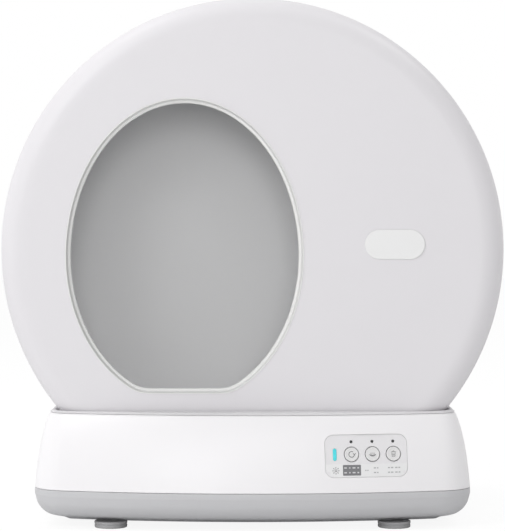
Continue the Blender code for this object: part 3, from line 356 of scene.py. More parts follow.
# plastic takes a colour and a roughness, then the grain's size, its depth and how far the tone drifts
drumWhite = plastic("drumWhite", (0.752, 0.737, 0.760), 0.42)
baseWhite = plastic("baseWhite", (0.893, 0.881, 0.896), 0.33)
coverWhite = plastic("coverWhite", (0.79, 0.788, 0.796), 0.42)
innerWhite = plastic("innerWhite", (0.84, 0.84, 0.845), 0.60, 0.0012, 0.00003)
lipWhite = plastic("lipWhite", (0.80, 0.80, 0.79), 0.50, 0.0005, 0.00001)
badgePale = plastic("badgePale", (0.83, 0.83, 0.83), 0.38, 0.0004, 0.000008)
trayGrey = plastic("trayGrey", (0.575, 0.575, 0.59), 0.45, 0.0010, 0.00003, 0.02)
deckGrey = plastic("deckGrey", (0.73, 0.72, 0.735), 0.50, 0.0010, 0.00003, 0.02)
fieldGrey = plastic("fieldGrey", (0.81, 0.80, 0.815), 0.45, 0.0005, 0.00001)
stripWhite = plastic("stripWhite", (0.84, 0.84, 0.845), 0.40, 0.0005, 0.000008)
keyWhite = plastic("keyWhite", (0.77, 0.765, 0.765), 0.36, 0.0004, 0.000008)
binGrey = plastic("binGrey", (0.66, 0.66, 0.67), 0.45, 0.0010, 0.00003)
housingGrey = plastic("housingGrey", (0.68, 0.68, 0.69), 0.55, 0.0012, 0.00004, 0.02)
linerPale = plastic("linerPale", (0.82, 0.82, 0.825), 0.70, 0.0018, 0.00008, 0.02)
footRubber = plastic("footRubber", (0.42, 0.42, 0.425), 0.70, 0.0008, 0.00003, 0.04)
rollerRubber = plastic("rollerRubber", (0.10, 0.10, 0.105), 0.75, 0.0006, 0.00004, 0.05)
gearNylon = plastic("gearNylon", (0.16, 0.16, 0.165), 0.45, 0.0008, 0.00002, 0.03)
darkNylon = plastic("darkNylon", (0.05, 0.05, 0.052), 0.45, 0.0008, 0.00002, 0.03)
paleNylon = plastic("paleNylon", (0.70, 0.70, 0.66), 0.45, 0.0010, 0.00002, 0.02)
inkDark = plastic("inkDark", (0.10, 0.10, 0.105), 0.55, 0.0003, 0.000004)
inkGrey = plastic("inkGrey", (0.42, 0.42, 0.43), 0.55, 0.0003, 0.000004)
inkBlock = plastic("inkBlock", (0.20, 0.20, 0.21), 0.55, 0.0003, 0.000004)
inkPale = plastic("inkPale", (0.66, 0.66, 0.67), 0.55, 0.0003, 0.000004)
turnedSteel = metal("turnedSteel", (0.62, 0.62, 0.63), 0.34, (1, 14, 1))
platedSteel = metal("platedSteel", (0.60, 0.60, 0.60), 0.36, (14, 1, 1))
boardGreen = circuitBoard("boardGreen")
lampDark = lamp("lampDark", (0.018, 0.018, 0.02), 0.0)
lampCyan = lamp("lampCyan", (0.055, 0.56, 0.61), 0.32)
print("materials made:", len(bpy.data.materials))


# Drum halves: a profile from the groove round the rim to the flat face, and back inside

frontLow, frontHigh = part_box("front_shell")
rearLow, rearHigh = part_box("rear_shell")
axisZ = (frontLow.z + frontHigh.z) / 2
drum = {
    "radius": frontHigh.x, "rim": 0.030, "wall": 0.003, "edge": 0.0007, "rimSteps": 18,
    # where the rings lie: along the wall outside, over the face, along the wall inside
    "wallShares": (0.0, 0.02, 0.35, 0.7, 0.97), "faceShares": (0.02, 0.15, 0.35, 0.6, 0.85, 0.98, 1.0),
    "insideShares": (0.97, 0.7, 0.35, 0.0),
}
entrance = {
    "x": -0.0804, "z": -0.0071, "halfWidth": 0.1352, "upper": 0.181, "lower": 0.170, "sill": 0.157,
    "ease": 0.006, "around": 480, "hole": 0.0055,
}


def eggOutline(offset):
    # an ellipse of two heights, pushed out along its normals, with its bottom eased into a flat sill
    turn = fullTurn(entrance["around"])
    tall = np.where(np.sin(turn) > 0, entrance["upper"], entrance["lower"])
    out = np.stack([np.cos(turn) / entrance["halfWidth"], np.sin(turn) / tall], 1)
    out = offset * out / np.linalg.norm(out, axis=1)[:, None]
    x, z = entrance["halfWidth"] * np.cos(turn) + out[:, 0], tall * np.sin(turn) + out[:, 1]
    sill = -entrance["sill"] - offset
    near = np.clip(1 - np.abs(z - sill) / entrance["ease"], 0, 1)
    z = np.maximum(z, sill) + near ** 2 * entrance["ease"] / 4
    return np.stack([entrance["x"] + x, entrance["z"] + z], 1)


coverLow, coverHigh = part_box("bin_cover")
port = {"play": 0.0004, "corner": 0.006, "cornerSteps": 6, "spacing": 0.0015}
portLow = np.array((coverLow.x, coverLow.z - axisZ)) - port["play"]
portHigh = np.array((coverHigh.x, coverHigh.z - axisZ)) + port["play"]
portCentre = (portLow + portHigh) / 2


def portOutline(play):
    # a rectangle with round corners, its sides cut into short lengths so that rays spread evenly
    sides = rectangle(*(portLow + play), *(portHigh - play))
    starts = rounded(sides, port["corner"] - play, port["cornerSteps"], True)
    ends = np.roll(starts, -1, 0)
    counts = np.ceil(np.linalg.norm(ends - starts, axis=1) / port["spacing"]).astype(int)
    return np.concatenate([a + (b - a) * np.arange(n)[:, None] / n for a, b, n in zip(starts, ends, counts)])


def onCircle(points, centre, radius):
    # where the ray from a centre through each point meets a circle round the drum's axis
    way = points - centre
    way = way / np.linalg.norm(way, axis=1)[:, None]
    along = way @ centre
    return centre + way * (np.sqrt(along ** 2 - centre @ centre + radius ** 2) - along)[:, None]


def halfShell(name, hole, centre, face, groove):
    # rings round the drum's axis turn into the hole's outline as they cross the face from rim to hole
    side = 1 if face > groove else -1
    rim, wall, radius, edge = drum["rim"], drum["wall"], drum["radius"], side * drum["edge"]
    brink = onCircle(hole, centre, radius - rim)
    heading = brink / np.linalg.norm(brink, axis=1)[:, None]
    hub, inner = face - side * rim, rim - wall
    bend = np.linspace(0, pi / 2, drum["rimSteps"] + 1)
    steps = [(heading * (radius - drum["edge"]), groove)]
    steps += [(heading * radius, groove + edge + share * (hub - groove - edge)) for share in drum["wallShares"]]
    steps += [(heading * (radius - rim + rim * cos(a)), hub + side * rim * sin(a)) for a in bend]
    steps += [(brink + (hole - brink) * share, face) for share in drum["faceShares"]]
    inside = len(steps)
    steps += [(brink + (hole - brink) * share, face - side * wall) for share in drum["faceShares"][::-1]]
    steps += [(heading * (radius - rim + inner * cos(a)), hub + side * inner * sin(a)) for a in bend[::-1]]
    steps += [(heading * (radius - wall), groove + share * (hub - groove)) for share in drum["insideShares"]]
    return shape(name, sweep([standing(flat, y, axisZ) for flat, y in steps], True, inside))


hole, centre = eggOutline(entrance["hole"]), np.array((entrance["x"], entrance["z"]))
frontShell = halfShell("drumFrontHalf", hole, centre, frontLow.y, frontHigh.y)
settle(frontShell, (drumWhite, innerWhite), "drum", "shell_white", "front_shell")
rearShell = halfShell("drumRearHalf", portOutline(0.0), portCentre, rearHigh.y, rearLow.y)
settle(rearShell, (drumWhite, innerWhite), "drum", "shell_white", "rear_shell")
print("drum halves made")


# Lip of the entrance: a low crest on the face, a slope inwards, a flat band and a hook behind the wall

lip = {
    "reach": 0.006, "proud": 0.0006, "slope": 0.0049, "slopeEnd": 0.0030, "sink": 0.0065, "fall": 0.0008,
    "neck": 0.0052, "depth": 0.0120, "hook": 0.0072, "gap": 0.0003, "steps": 6,
    # bends of its section's corners, from the crest's outer edge over the slope to the hook and the neck
    "bends": (0.0001, 0.0002, 0.0002, 0.0006, 0.0014, 0.0012, 0.0016, 0.0004, 0.0002, 0.0002),
}


def entranceLip():
    # a section of (offset, depth), each of its points carried round the entrance's outline at that offset
    face = frontLow.y
    seat, crest, band = face - lip["gap"], face - lip["proud"], face + lip["sink"]
    tail, behind = face + lip["depth"], face + drum["wall"] + lip["gap"]
    section = rounded([
        (lip["reach"], seat), (lip["reach"], crest), (lip["slope"], crest), (lip["slopeEnd"], band),
        (0.0, band + lip["fall"]), (0.0, tail), (lip["hook"], tail), (lip["hook"], behind),
        (lip["neck"], behind), (lip["neck"], seat),
    ], lip["bends"], lip["steps"], True)
    return shape("entranceLip", sweep([standing(eggOutline(out), y, axisZ) for out, y in section], True))


settle(entranceLip(), (lipWhite,), "drum", "soft_lip", "opening_trim")


# Bare plate on the face: a pill with an eased edge

plate = {"edge": 0.0006, "edgeSteps": 4, "flatIn": 0.0015, "around": 96}


def facePlate():
    # a pill: half circles round two centres, drawn in along a quarter circle at its front edge
    low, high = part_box("face_badge")
    radius, edge = (high.z - low.z) / 2, plate["edge"]
    reach, heading = (high.x - low.x) / 2 - radius, circle(fullTurn(plate["around"]))
    middleX = (low.x + high.x) / 2 + reach * np.sign(heading[:, 0])
    middle = np.stack([middleX, np.full(len(heading), (low.z + high.z) / 2)], 1)
    steps = [(0.0, high.y), *[(into, low.y + short) for into, short in quarter(edge, plate["edgeSteps"])[::-1]]]
    steps.append((edge + plate["flatIn"], low.y))
    return shape("facePlate", sweep([standing(middle + heading * (radius - drawn), y) for drawn, y in steps]))


settle(facePlate(), (badgePale,), "drum", "badge_pale", "face_badge")
print("entrance and plate made")


# Ring gear: its outer radius runs as a wall, then as straight-sided teeth, then as a wall again

gear = {
    "teeth": 120, "module": 0.0048, "addendumShare": 0.8, "dedendumShare": 1.05, "pressure": pi / 9,
    "backlash": 0.0004, "bore": 0.280, "wall": 0.003, "gap": 0.0003, "ease": 0.0006,
}


def ringGear():
    # x = r(a) cos a, z = r(a) sin a, where r follows the teeth's flanks or stays at one radius
    pitch = gear["module"] * gear["teeth"] / 2
    root = pitch - gear["dedendumShare"] * gear["module"]
    tip = pitch + gear["addendumShare"] * gear["module"]
    half = pi * gear["module"] / 4 - gear["backlash"] / 2
    foot = (half + (pitch - root) * tan(gear["pressure"])) / root
    crest = (half - (tip - pitch) * tan(gear["pressure"])) / tip
    ease, flank = gear["ease"] / tip, gear["ease"]
    swing = np.array([foot + ease, foot - ease / 2, crest + ease / 3, crest - ease])
    rise = np.array([root, root + flank, tip - flank, tip])
    swing, rise = np.concatenate([-swing, swing[::-1]]), np.concatenate([rise, rise[::-1]])
    turn = (tau * np.arange(gear["teeth"])[:, None] / gear["teeth"] + swing[None]).ravel()
    toothed = np.tile(rise, gear["teeth"])
    front, rear = frontHigh.y, rearLow.y
    outer, wall, ease = drum["radius"] - drum["wall"] - gear["gap"], gear["wall"], gear["ease"]
    steps = [
        (gear["bore"], front - wall), (outer, front - wall), (outer, front), (root, front),
        (toothed - ease * (toothed > pitch), front), (toothed, front + ease),
        (toothed, rear - ease), (toothed - ease * (toothed > pitch), rear), (root, rear), (outer, rear),
        (outer, rear + wall), (gear["bore"], rear + wall),
    ]
    rings = [standing(np.reshape(radius, (-1, 1)) * circle(turn), y, axisZ) for radius, y in steps]
    return shape("ringGear", sweep(rings, True))


settle(ringGear(), (gearNylon,), "drum", "nylon_dark", "ring_gear")


# Litter liner: a flat rounded section carried along an arc below the axis

liner = {"thick": 0.003, "gap": 0.0003, "half": radians(75), "steps": 120, "bend": 0.0012, "bendSteps": 4}


def litterLiner():
    # x = r sin a, z = axis - r cos a for a rounded section of (y, r)
    low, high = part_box("litter_liner")
    outer = gear["bore"] - liner["gap"]
    sides = rectangle(low.y, outer - liner["thick"], high.y, outer)
    y, radius = rounded(sides, liner["bend"], liner["bendSteps"], True).T
    angles = np.linspace(-liner["half"], liner["half"], liner["steps"] + 1)
    rings = [np.stack([radius * sin(a), y, axisZ - radius * cos(a)], 1) for a in angles]
    return shape("litterLiner", sweep(rings))


settle(litterLiner(), (linerPale,), "drum", "liner_grey", "litter_liner")
print("ring gear and liner made")


# Base: a plan of arcs, drawn in by an inset that follows the side's curve

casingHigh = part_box("base_upper_shell")[1]
base = {
    "halfWidth": casingHigh.x, "halfDepth": casingHigh.y, "bow": 0.818, "corner": 0.048,
    "seam": 0.046, "rim": 0.138, "inset": 0.0205, "trayInset": 0.040, "underside": 0.008,
    "shellWall": 0.0024, "deckWall": 0.0025, "gap": 0.0003,
    "bowSteps": 120, "cornerSteps": 28, "sideSteps": 60, "edgeSteps": 4,
}
casingTop = base["rim"] - base["deckWall"] - base["gap"]
# shares of the inset and of the height that casing and tray follow
sideShares = ((0.0, 0.0), (0.10, 0.22), (0.259, 0.475), (0.50, 0.73), (0.80, 0.93), (1.0, 1.0))
trayShares = ((0.0, 0.822), (0.11, 0.467), (0.375, 0.196), (0.815, 0.077), (1.0, 0.0))


def softCurve(shares, count):
    # a curve through the points whose slope at each is that of the line between its neighbours
    known = np.array(shares)
    known = np.vstack([2 * known[0] - known[1], known, 2 * known[-1] - known[-2]])
    run = np.linspace(0, len(shares) - 1, count)
    step = np.minimum(run.astype(int), len(shares) - 2)
    part = (run - step)[:, None]
    a, b, c, d = (known[step + k] for k in range(4))
    return b + part / 2 * (c - a + part * (2 * a - 5 * b + 4 * c - d + part * (3 * (b - c) + d - a)))


sideCurve = softCurve(sideShares, 60)


def insetAt(z, curve=sideCurve):
    share = (z - base["seam"]) / (base["rim"] - base["seam"])
    return base["inset"] * np.interp(share, curve[:, 1], curve[:, 0])


def basePlan(inset, z):
    # bowed front and rear, round corners, straight sides; an inset shortens every radius alike
    bow, corner = base["bow"], base["corner"]
    cornerX = base["halfWidth"] - corner
    reach = sqrt((bow - corner) ** 2 - cornerX ** 2)
    bowY = bow - base["halfDepth"]
    cornerY, lean = reach - bowY, atan2(cornerX, reach)

    def arc(x, y, radius, start, end, count):
        return (x, y) + radius * circle(np.linspace(start, end, count, endpoint=False))

    straight = np.linspace(-cornerY, cornerY, base["sideSteps"], endpoint=False)
    half = np.concatenate([  # the front bow and the right side; the rest is this turned half round
        arc(0, bowY, bow - inset, -pi / 2 - lean, -pi / 2 + lean, base["bowSteps"]),
        arc(cornerX, -cornerY, corner - inset, -pi / 2 + lean, 0, base["cornerSteps"]),
        np.stack([np.full(len(straight), base["halfWidth"] - inset), straight], 1),
        arc(cornerX, cornerY, corner - inset, 0, pi / 2 - lean, base["cornerSteps"]),
    ])
    return lying(np.concatenate([half, -half]), z)


def easedWall(path, first, last, edge):
    # a wall's (inset, z) path with its two ends turned in by a small radius
    bend = quarter(edge, base["edgeSteps"])
    start = [(first[0] + into, first[1] + short) for into, short in bend]
    return start + path + [(last[0] + into, last[1] - short) for into, short in bend[::-1]]


casing = {"edge": 0.0011, "edgeShare": 1.4, "ends": 0.004, "rows": 36}


def upperCasing():
    # the side's curve from seam to rim, then back down inside at the wall's thickness
    seam, edge, ends = base["seam"], casing["edge"], casing["ends"]
    clear = edge * casing["edgeShare"]
    heights = [seam + clear, *np.linspace(seam + ends, casingTop - ends, casing["rows"]), casingTop - clear]
    path = [(insetAt(z), z) for z in heights]
    outer = easedWall(path, (insetAt(seam), seam), (insetAt(casingTop), casingTop), edge)
    inner = [(insetAt(z) + base["shellWall"], z) for z in (casingTop, *heights[::-3], seam)]
    return shape("upperCasing", sweep([basePlan(inset, z) for inset, z in outer + inner], True))


# Frame of the panel and of the inlet on the casing: its Y axis points inwards

def skinFrame(x, z, side, reach):
    # the insets are taken between the side's given points, as the solids have them
    below, here, above = (insetAt(height, np.array(sideShares)) for height in (z - reach, z, z + reach))
    radius = base["bow"] - here
    y = sqrt(radius ** 2 - x ** 2) - (base["bow"] - base["halfDepth"])
    turn = np.arcsin(x / radius)
    lean = atan2(above - below, 2 * reach)
    heading = turn if side < 0 else pi - turn
    spot = Matrix.Translation((x, side * y, z)) @ Matrix.Rotation(heading, 4, "Z")
    return spot @ Matrix.Rotation(-lean, 4, "X")


panel = {
    "x": casingHigh.x - 0.127, "z": 0.089, "width": 0.0986, "height": 0.0502, "corner": 0.0105,
    "sink": 0.0005, "thick": 0.005, "rows": 40, "gap": 0.0003, "overrun": 0.012,
    "recess": 0.0024, "fieldHeight": 0.0345, "rim": 0.0008, "fieldCorner": 0.0009, "near": 1e-4, "facing": 0.99,
}
jack = {
    "x": 0.110 - casingHigh.x, "z": 0.062, "flange": 0.0075, "flangeDepth": 0.0036, "body": 0.006,
    "length": 0.016, "bore": 0.0028, "pin": 0.001, "depth": 0.010, "sink": 0.0005, "around": 48,
    "bends": (0, 0.0005, 0, 0, 0.0004, 0.0008, 0.0003, 0, 0.0005, 0),
}
panelFrame = skinFrame(panel["x"], panel["z"], -1, panel["height"] / 2)
jackFrame = skinFrame(jack["x"], jack["z"], 1, jack["flange"])


def roundBox(x, z, width, height, corner, steps=8):
    # a rectangle round a middle, with round corners
    sides = rectangle(x - width / 2, z - height / 2, x + width / 2, z + height / 2)
    return rounded(sides, corner, steps, True)


def ringOutline(x, z, radius, count=40):
    return (x, z) + radius * circle(fullTurn(count))


def cutter(name, outline, low, high, matrix=Matrix()):
    return shape(name, placed(prism(outline, low, high), matrix))


casingPiece = upperCasing()
over = panel["overrun"]
opening = roundBox(0, 0, panel["width"], panel["height"], panel["corner"])
inlet = ringOutline(0, 0, jack["flange"] + panel["gap"])
carve(
    casingPiece, ("DIFFERENCE", cutter("panelCut", opening, -over, over, panelFrame)),
    ("DIFFERENCE", cutter("inletCut", inlet, -over, over, jackFrame)),
)
settle(casingPiece, (baseWhite,), "base", "shell_white", "base_upper_shell")
print("upper casing made")


places = ("front_left", "front_right", "rear_left", "rear_right")
tray = {"wall": 0.003, "edge": 0.0008, "upright": 0.003, "rows": 40, "screwHole": 0.0023, "screwCut": 0.02}


def each(kind):
    return [kind + place for place in places]


def lowerTray():
    # the side's curve from the top edge down to the underside, and the same inside, a wall's thickness in
    top, low, wall = base["seam"] - base["gap"], base["underside"], tray["wall"]
    curve = softCurve(trayShares, tray["rows"])
    side = [(share * base["trayInset"], low + up * (top - low)) for share, up in curve]
    upper = [(into, top - short) for into, short in quarter(tray["edge"], base["edgeSteps"])]
    inner = [(inset + wall, z + wall) for inset, z in side[::3]]
    path = inner[::-1] + [(wall, side[0][1]), (wall, top)] + upper + [(0.0, top - tray["upright"])] + side
    return shape("lowerTray", sweep([basePlan(inset, z) for inset, z in path]))


trayPiece = lowerTray()
cuts = []
for place in places:
    low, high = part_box("bracket_screw_" + place)
    ring = ringOutline((low.x + high.x) / 2, (low.y + high.y) / 2, tray["screwHole"], 20)
    rings = [lying(ring, z) for z in (0.0, base["underside"] + tray["screwCut"])]
    cuts.append(("DIFFERENCE", shape("screwCut_" + place, sweep(rings))))
settle(carve(trayPiece, *cuts), (trayGrey,), "base", "tray_grey", "base_lower_tray")
print("lower tray made")


deck = {
    "clear": 0.0035, "edge": 0.0007, "edgeSteps": 3, "around": 256, "rimPoints": 14, "windowClear": 0.003,
    "teethY": 0.027, "teethHalf": 0.006,
}


def drumForm(name, swell):
    # the drum's outside, swollen: a quarter circle at each rim, turned round the drum's axis
    radius, half = drum["radius"] - drum["rim"], (rearHigh.y - frontLow.y) / 2 - drum["rim"]
    rim = drum["rim"] + swell
    rear = [(radius + rim * cos(a), half + rim * sin(a)) for a in np.linspace(0, pi / 2, deck["rimPoints"])]
    rear.append((0.0, half + rim))
    profile = [(r, -y) for r, y in rear[::-1]] + rear
    return shape(name, placed(turnedGrid(profile, deck["around"]), Matrix.Translation((0, 0, axisZ))))


def wheelWindow(node):
    # a cut through the trough for a wheel that reaches through it
    low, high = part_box(node)
    x, z, radius = (low.x + high.x) / 2, (low.z + high.z) / 2, (high.z - low.z) / 2
    middle, half = (low.y + high.y) / 2, (high.y - low.y) / 2
    if node == "drive_pinion":  # only its teeth come through, its shaft stays below
        middle, half = deck["teethY"], deck["teethHalf"]
    half += deck["windowClear"]
    trough, over = drum["radius"] + deck["clear"], panel["overrun"]
    angle = atan2(x, axisZ - z)
    turn = Matrix.Translation((0, middle, axisZ)) @ Matrix.Rotation(-angle, 4, "Y")
    window = box((-radius, -half, -trough - over), (radius, half, over - trough))
    return shape("window_" + node, placed(window, turn))


def cradleDeck():
    # a flat plate joined to the lower part of a swollen drum, less the drum's trough and the windows
    top, low = base["rim"], base["rim"] - base["deckWall"]
    bend = quarter(deck["edge"], deck["edgeSteps"])[::-1]
    path = [(insetAt(low) + short, low + into) for into, short in bend]
    path += [(insetAt(top) + into, top - short) for into, short in bend]
    plateOf = shape("cradleDeck", sweep([basePlan(inset, z) for inset, z in path]))
    belly = drumForm("bellyAdd", deck["clear"] + base["deckWall"])
    reach = drum["radius"] + panel["overrun"]
    keep = box((-reach, -reach, 0.0), (reach, reach, top - base["deckWall"] / 2))
    carve(belly, ("INTERSECT", shape("bellyKeep", keep)))
    carve(plateOf, ("UNION", belly), ("DIFFERENCE", drumForm("troughCut", deck["clear"])))
    return carve(plateOf, *[("DIFFERENCE", wheelWindow(node)) for node in (*each("roller_"), "drive_pinion")])


settle(cradleDeck(), (deckGrey,), "base", "deck_grey", "cradle_deck")
print("cradle deck made")


# Feet: turned discs with a lip, a groove and a hollow underneath

foot = {
    "radius": 0.0195, "top": 0.0077, "hollow": 0.0120, "hollowRim": 0.0125, "hollowDepth": 0.0006,
    "heel": 0.0005, "groove": (0.0030, 0.0040, 0.0050), "grooveDepth": 0.0009, "around": 64,
    "bends": (0, 0.0005, 0.0005, 0.0012, 0.0010, 0.0006, 0.0008, 0.0006, 0),
}


def rubberFoot(place):
    # a profile from the hollow's middle round the rim to the top, turned about the foot's upright axis
    low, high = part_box("foot_" + place)
    radius, top, hollow = foot["radius"], foot["top"], foot["hollowDepth"]
    lower, deepest, upper = foot["groove"]
    profile = rounded([
        (0.0, hollow), (foot["hollow"], hollow), (foot["hollowRim"], 0.0), (radius - foot["heel"], 0.0),
        (radius, lower), (radius - foot["grooveDepth"], deepest), (radius, upper), (radius, top), (0.0, top),
    ], foot["bends"], 4)
    middle = Matrix.Translation(((low.x + high.x) / 2, (low.y + high.y) / 2, 0.0))
    grid = placed(turnedGrid(profile, foot["around"]), middle @ Matrix.Rotation(pi / 2, 4, "X"))
    settle(shape("foot_" + place + "_pad", grid), (footRubber,), "base", "rubber_dark", "foot_" + place)


for place in places:
    rubberFoot(place)
print("feet made")


# Control panel: a slab that follows the casing, with a sunk flat field; keys, lamps and printed marks

keys = {
    "names": ("clean", "level", "empty"), "pitch": 0.025, "rowX": 0.0077, "rowZ": 0.0019, "around": 72,
    "radius": 0.00875, "proud": 0.0012, "play": 0.0004, "groove": 0.0005, "dish": 0.0003, "dishIn": 0.0021,
    "rimIn": 0.0013, "flare": 0.0001, "flange": 0.0105, "flangeY": 0.0073, "flangeThick": 0.001,
    "stem": 0.003, "stemEnd": 0.0090,
    "bends": (0, 0.0006, 0.0005, 0.0008, 0.0002, 0.0002, 0.0002, 0.0002, 0.0003, 0),
}
lampsOf = {
    "radius": 0.0016, "rowZ": 0.0167, "proud": 0.0002, "length": 0.004, "bend": 0.0005,
    "around": 32, "holeAround": 24,
}
bar = {
    "x": -0.0372, "width": 0.0041, "height": 0.014, "gap": 0.0003,
    "edge": ((0.0, 0.0004), (0.00012, 0.0001), (0.0004, 0.0)),  # how far in, how far behind the front
}
keyPlaces = [(name, keys["rowX"] + keys["pitch"] * step) for name, step in zip(keys["names"], (-1, 0, 1))]


def barOutline(play):
    # its ends stay just short of half circles
    width, height = bar["width"] + 2 * play, bar["height"] + 2 * play
    return roundBox(bar["x"], keys["rowZ"], width, height, bar["width"] / 2 + play - weld["distance"])


def fascia():
    # a slab between two surfaces of the casing's side, kept inside the panel's outline
    outer = [(insetAt(z) + panel["sink"], z) for z in np.linspace(base["seam"], casingTop, panel["rows"])]
    inner = [(inset + panel["thick"], z) for inset, z in outer[::-1]]
    piece = shape("panelFascia", sweep([basePlan(inset, z) for inset, z in outer + inner], True))
    gap, rim, over = panel["gap"], panel["rim"], panel["overrun"]
    outline = roundBox(0, 0, panel["width"] - 2 * gap, panel["height"] - 2 * gap, panel["corner"] - gap)
    carve(piece, ("INTERSECT", cutter("panelKeep", outline, -over, over, panelFrame)))
    side, top = panel["width"] / 2 - rim, panel["height"] / 2 - rim
    low = panel["height"] / 2 - panel["fieldHeight"]
    tight, wide = panel["fieldCorner"], panel["corner"] - rim
    field = rounded(rectangle(-side, low, side, top), (tight, tight, wide, wide), 8, True)
    holes = [("fieldCut", field, panel["recess"])]
    for name, x in keyPlaces:
        keyHole = ringOutline(x, keys["rowZ"], keys["radius"] + keys["play"], keys["around"])
        lampHole = ringOutline(x, lampsOf["rowZ"], lampsOf["radius"] + gap, lampsOf["holeAround"])
        holes += [("keyCut_" + name, keyHole, over), ("lampCut_" + name, lampHole, over)]
    holes.append(("barCut", barOutline(bar["gap"]), over))
    carve(piece, *[("DIFFERENCE", cutter(name, hole, -over, depth, panelFrame)) for name, hole, depth in holes])
    facing = np.array(panelFrame.inverted())  # the sunk field takes the second look
    count = len(piece.data.polygons)
    middles, normals = np.empty(count * 3), np.empty(count * 3)
    piece.data.polygons.foreach_get("center", middles)
    piece.data.polygons.foreach_get("normal", normals)
    middles = middles.reshape(-1, 3) @ facing[:3, :3].T + facing[:3, 3]
    normals = normals.reshape(-1, 3) @ facing[:3, :3].T
    sunk = np.abs(middles[:, 1] - panel["recess"]) < panel["near"]
    sunk &= normals[:, 1] < -panel["facing"]
    piece.data.polygons.foreach_set("material_index", sunk.astype(np.int32))
    return piece


settle(fascia(), (stripWhite, fieldGrey), "base", "panel_grey", "panel_fascia")
print("panel made")

inkThick = 0.00008


def stroke(points, width, front, closed=False):
    # a flat line: a thin rectangle carried along points of the panel's face, of one width or one for each point
    points = np.asarray(points, float)
    along = np.roll(points, -1, 0) - np.roll(points, 1, 0) if closed else np.gradient(points, axis=0)
    along = along / np.linalg.norm(along, axis=1)[:, None]
    left = np.stack([-along[:, 1], along[:, 0]], 1) * np.reshape(width, (-1, 1)) / 2
    edges = ((left, 0.0), (left, inkThick), (-left, inkThick), (-left, 0.0))
    grid = np.stack([standing(points + aside, front - raised) for aside, raised in edges])
    return placed((grid, closed, oneLook), panelFrame)


def arcPoints(radius, start, end, count=24, squashed=1.0):
    # x = r cos a, z = r sin a, lower where squashed
    return radius * circle(np.radians(np.linspace(start, end, count))) * (1.0, squashed)


# plain signs, as lines about the key's middle with their widths: a turning arrow, a bowl of litter, a bin
signs = {
    "clean": (
        (arcPoints(0.0033, 60, 360), 0.0007),
        (((0.0016, 0.0012), (0.0033, -0.0005), (0.0049, 0.0014)), 0.0007),
    ),
    "level": (
        (arcPoints(0.0040, 200, 340, squashed=0.80) + (0.0, 0.0008), 0.0006),
        (arcPoints(0.0031, 215, 325, squashed=0.72) + (0.0, 0.0008), 0.0008),
        (((-0.0030, 0.0010), (0.0030, 0.0010)), 0.0004),
    ),
    "empty": (
        (((-0.0021, 0.0012), (-0.0016, -0.0032), (0.0016, -0.0032), (0.0021, 0.0012)), 0.0005),
        (((-0.0030, 0.0021), (0.0030, 0.0021)), 0.0005),
        (arcPoints(0.0010, 0, 180, 10) + (0.0, 0.0023), 0.0005),
        (((-0.0007, 0.0004), (-0.00056, -0.0022)), 0.0005),
        (((0.0007, 0.0004), (0.00056, -0.0022)), 0.0005),
    ),
}


def panelKeys():
    # each key and each lamp lens is a profile turned about its own axis; a key's sign lies in its dish
    front = panel["recess"] - keys["proud"]
    dished, flangeEnd = front + keys["dish"], keys["flangeY"] + keys["flangeThick"]
    shoulder = keys["radius"] - keys["groove"]
    profile = rounded([
        (0.0, dished), (shoulder - keys["dishIn"], dished), (shoulder - keys["rimIn"], front),
        (shoulder, front), (shoulder + keys["flare"], keys["flangeY"]), (keys["flange"], keys["flangeY"]),
        (keys["flange"], flangeEnd), (keys["stem"], flangeEnd), (keys["stem"], keys["stemEnd"]),
        (0.0, keys["stemEnd"]),
    ], keys["bends"], 4)
    start = panel["recess"] - lampsOf["proud"]
    radius, end = lampsOf["radius"], start + lampsOf["length"]
    dome = rounded([(0.0, start), (radius, start), (radius, end), (0.0, end)], (0, lampsOf["bend"], 0, 0))
    for name, x in keyPlaces:
        spot = panelFrame @ Matrix.Translation((x, 0, keys["rowZ"]))
        piece = shape("key_" + name, placed(turnedGrid(profile, keys["around"]), spot))
        settle(piece, (keyWhite,), name + "_key", "key_white", "button_" + name)
        lines = [stroke(np.add(line, (x, keys["rowZ"])), width, dished) for line, width in signs[name]]
        settle(shape("keySign_" + name, *lines), (inkDark,), name + "_key", "nylon_dark")
        spot = panelFrame @ Matrix.Translation((x, 0, lampsOf["rowZ"]))
        piece = shape("lampLens_" + name, placed(turnedGrid(dome, lampsOf["around"]), spot))
        settle(piece, (lampDark,), "base", "lamp_dark", "lamp_" + name)


def lightBar():
    # the bar's outline, drawn in towards its front
    start = panel["recess"] - lampsOf["proud"]
    steps = ((0.0, lampsOf["length"]), *bar["edge"])
    rings = [standing(barOutline(-drawn), start + behind) for drawn, behind in steps]
    return shape("lightBar", placed(sweep(rings), panelFrame))


panelKeys()
settle(lightBar(), (lampCyan,), "base", "lamp_cyan", "light_bar")
print("keys and lamps made")


# Printed strip under the keys: a sun, a dark block and rows of plain dots and dashes

strip = {
    "z": -0.0172, "lean": 0.17, "sunX": -0.0366, "sun": 0.0012, "sunLine": 0.0006,
    "rays": 8, "rayFrom": 0.0026, "rayTo": 0.0042, "rayLine": 0.0007,
    "blockX": -0.0176, "blockHalf": 0.0107, "blockHeight": 0.0126, "blockLift": 0.0004, "corner": 0.0007,
    "dashes": (0.0030, 0.0016, 0.0034, 0.0020), "dashX": -0.0252, "dashPitch": 0.0050, "dashRow": 0.0028,
    "dashLine": 0.0015, "rowGap": 0.0054, "lead": 0.0026, "space": 0.0011, "markLine": 0.0012,
    "groups": (  # where a group stands, its rows and the lengths of its marks
        (0.0008, (0,), (0.0014, 0.0014)), (0.0110, (-1, 1), (0.0028, 0.0016)),
        (0.0280, (-1, 1), (0.0024, 0.0030)), (0.0366, (-1, 1), (0.0030, 0.0022)),
    ),
}


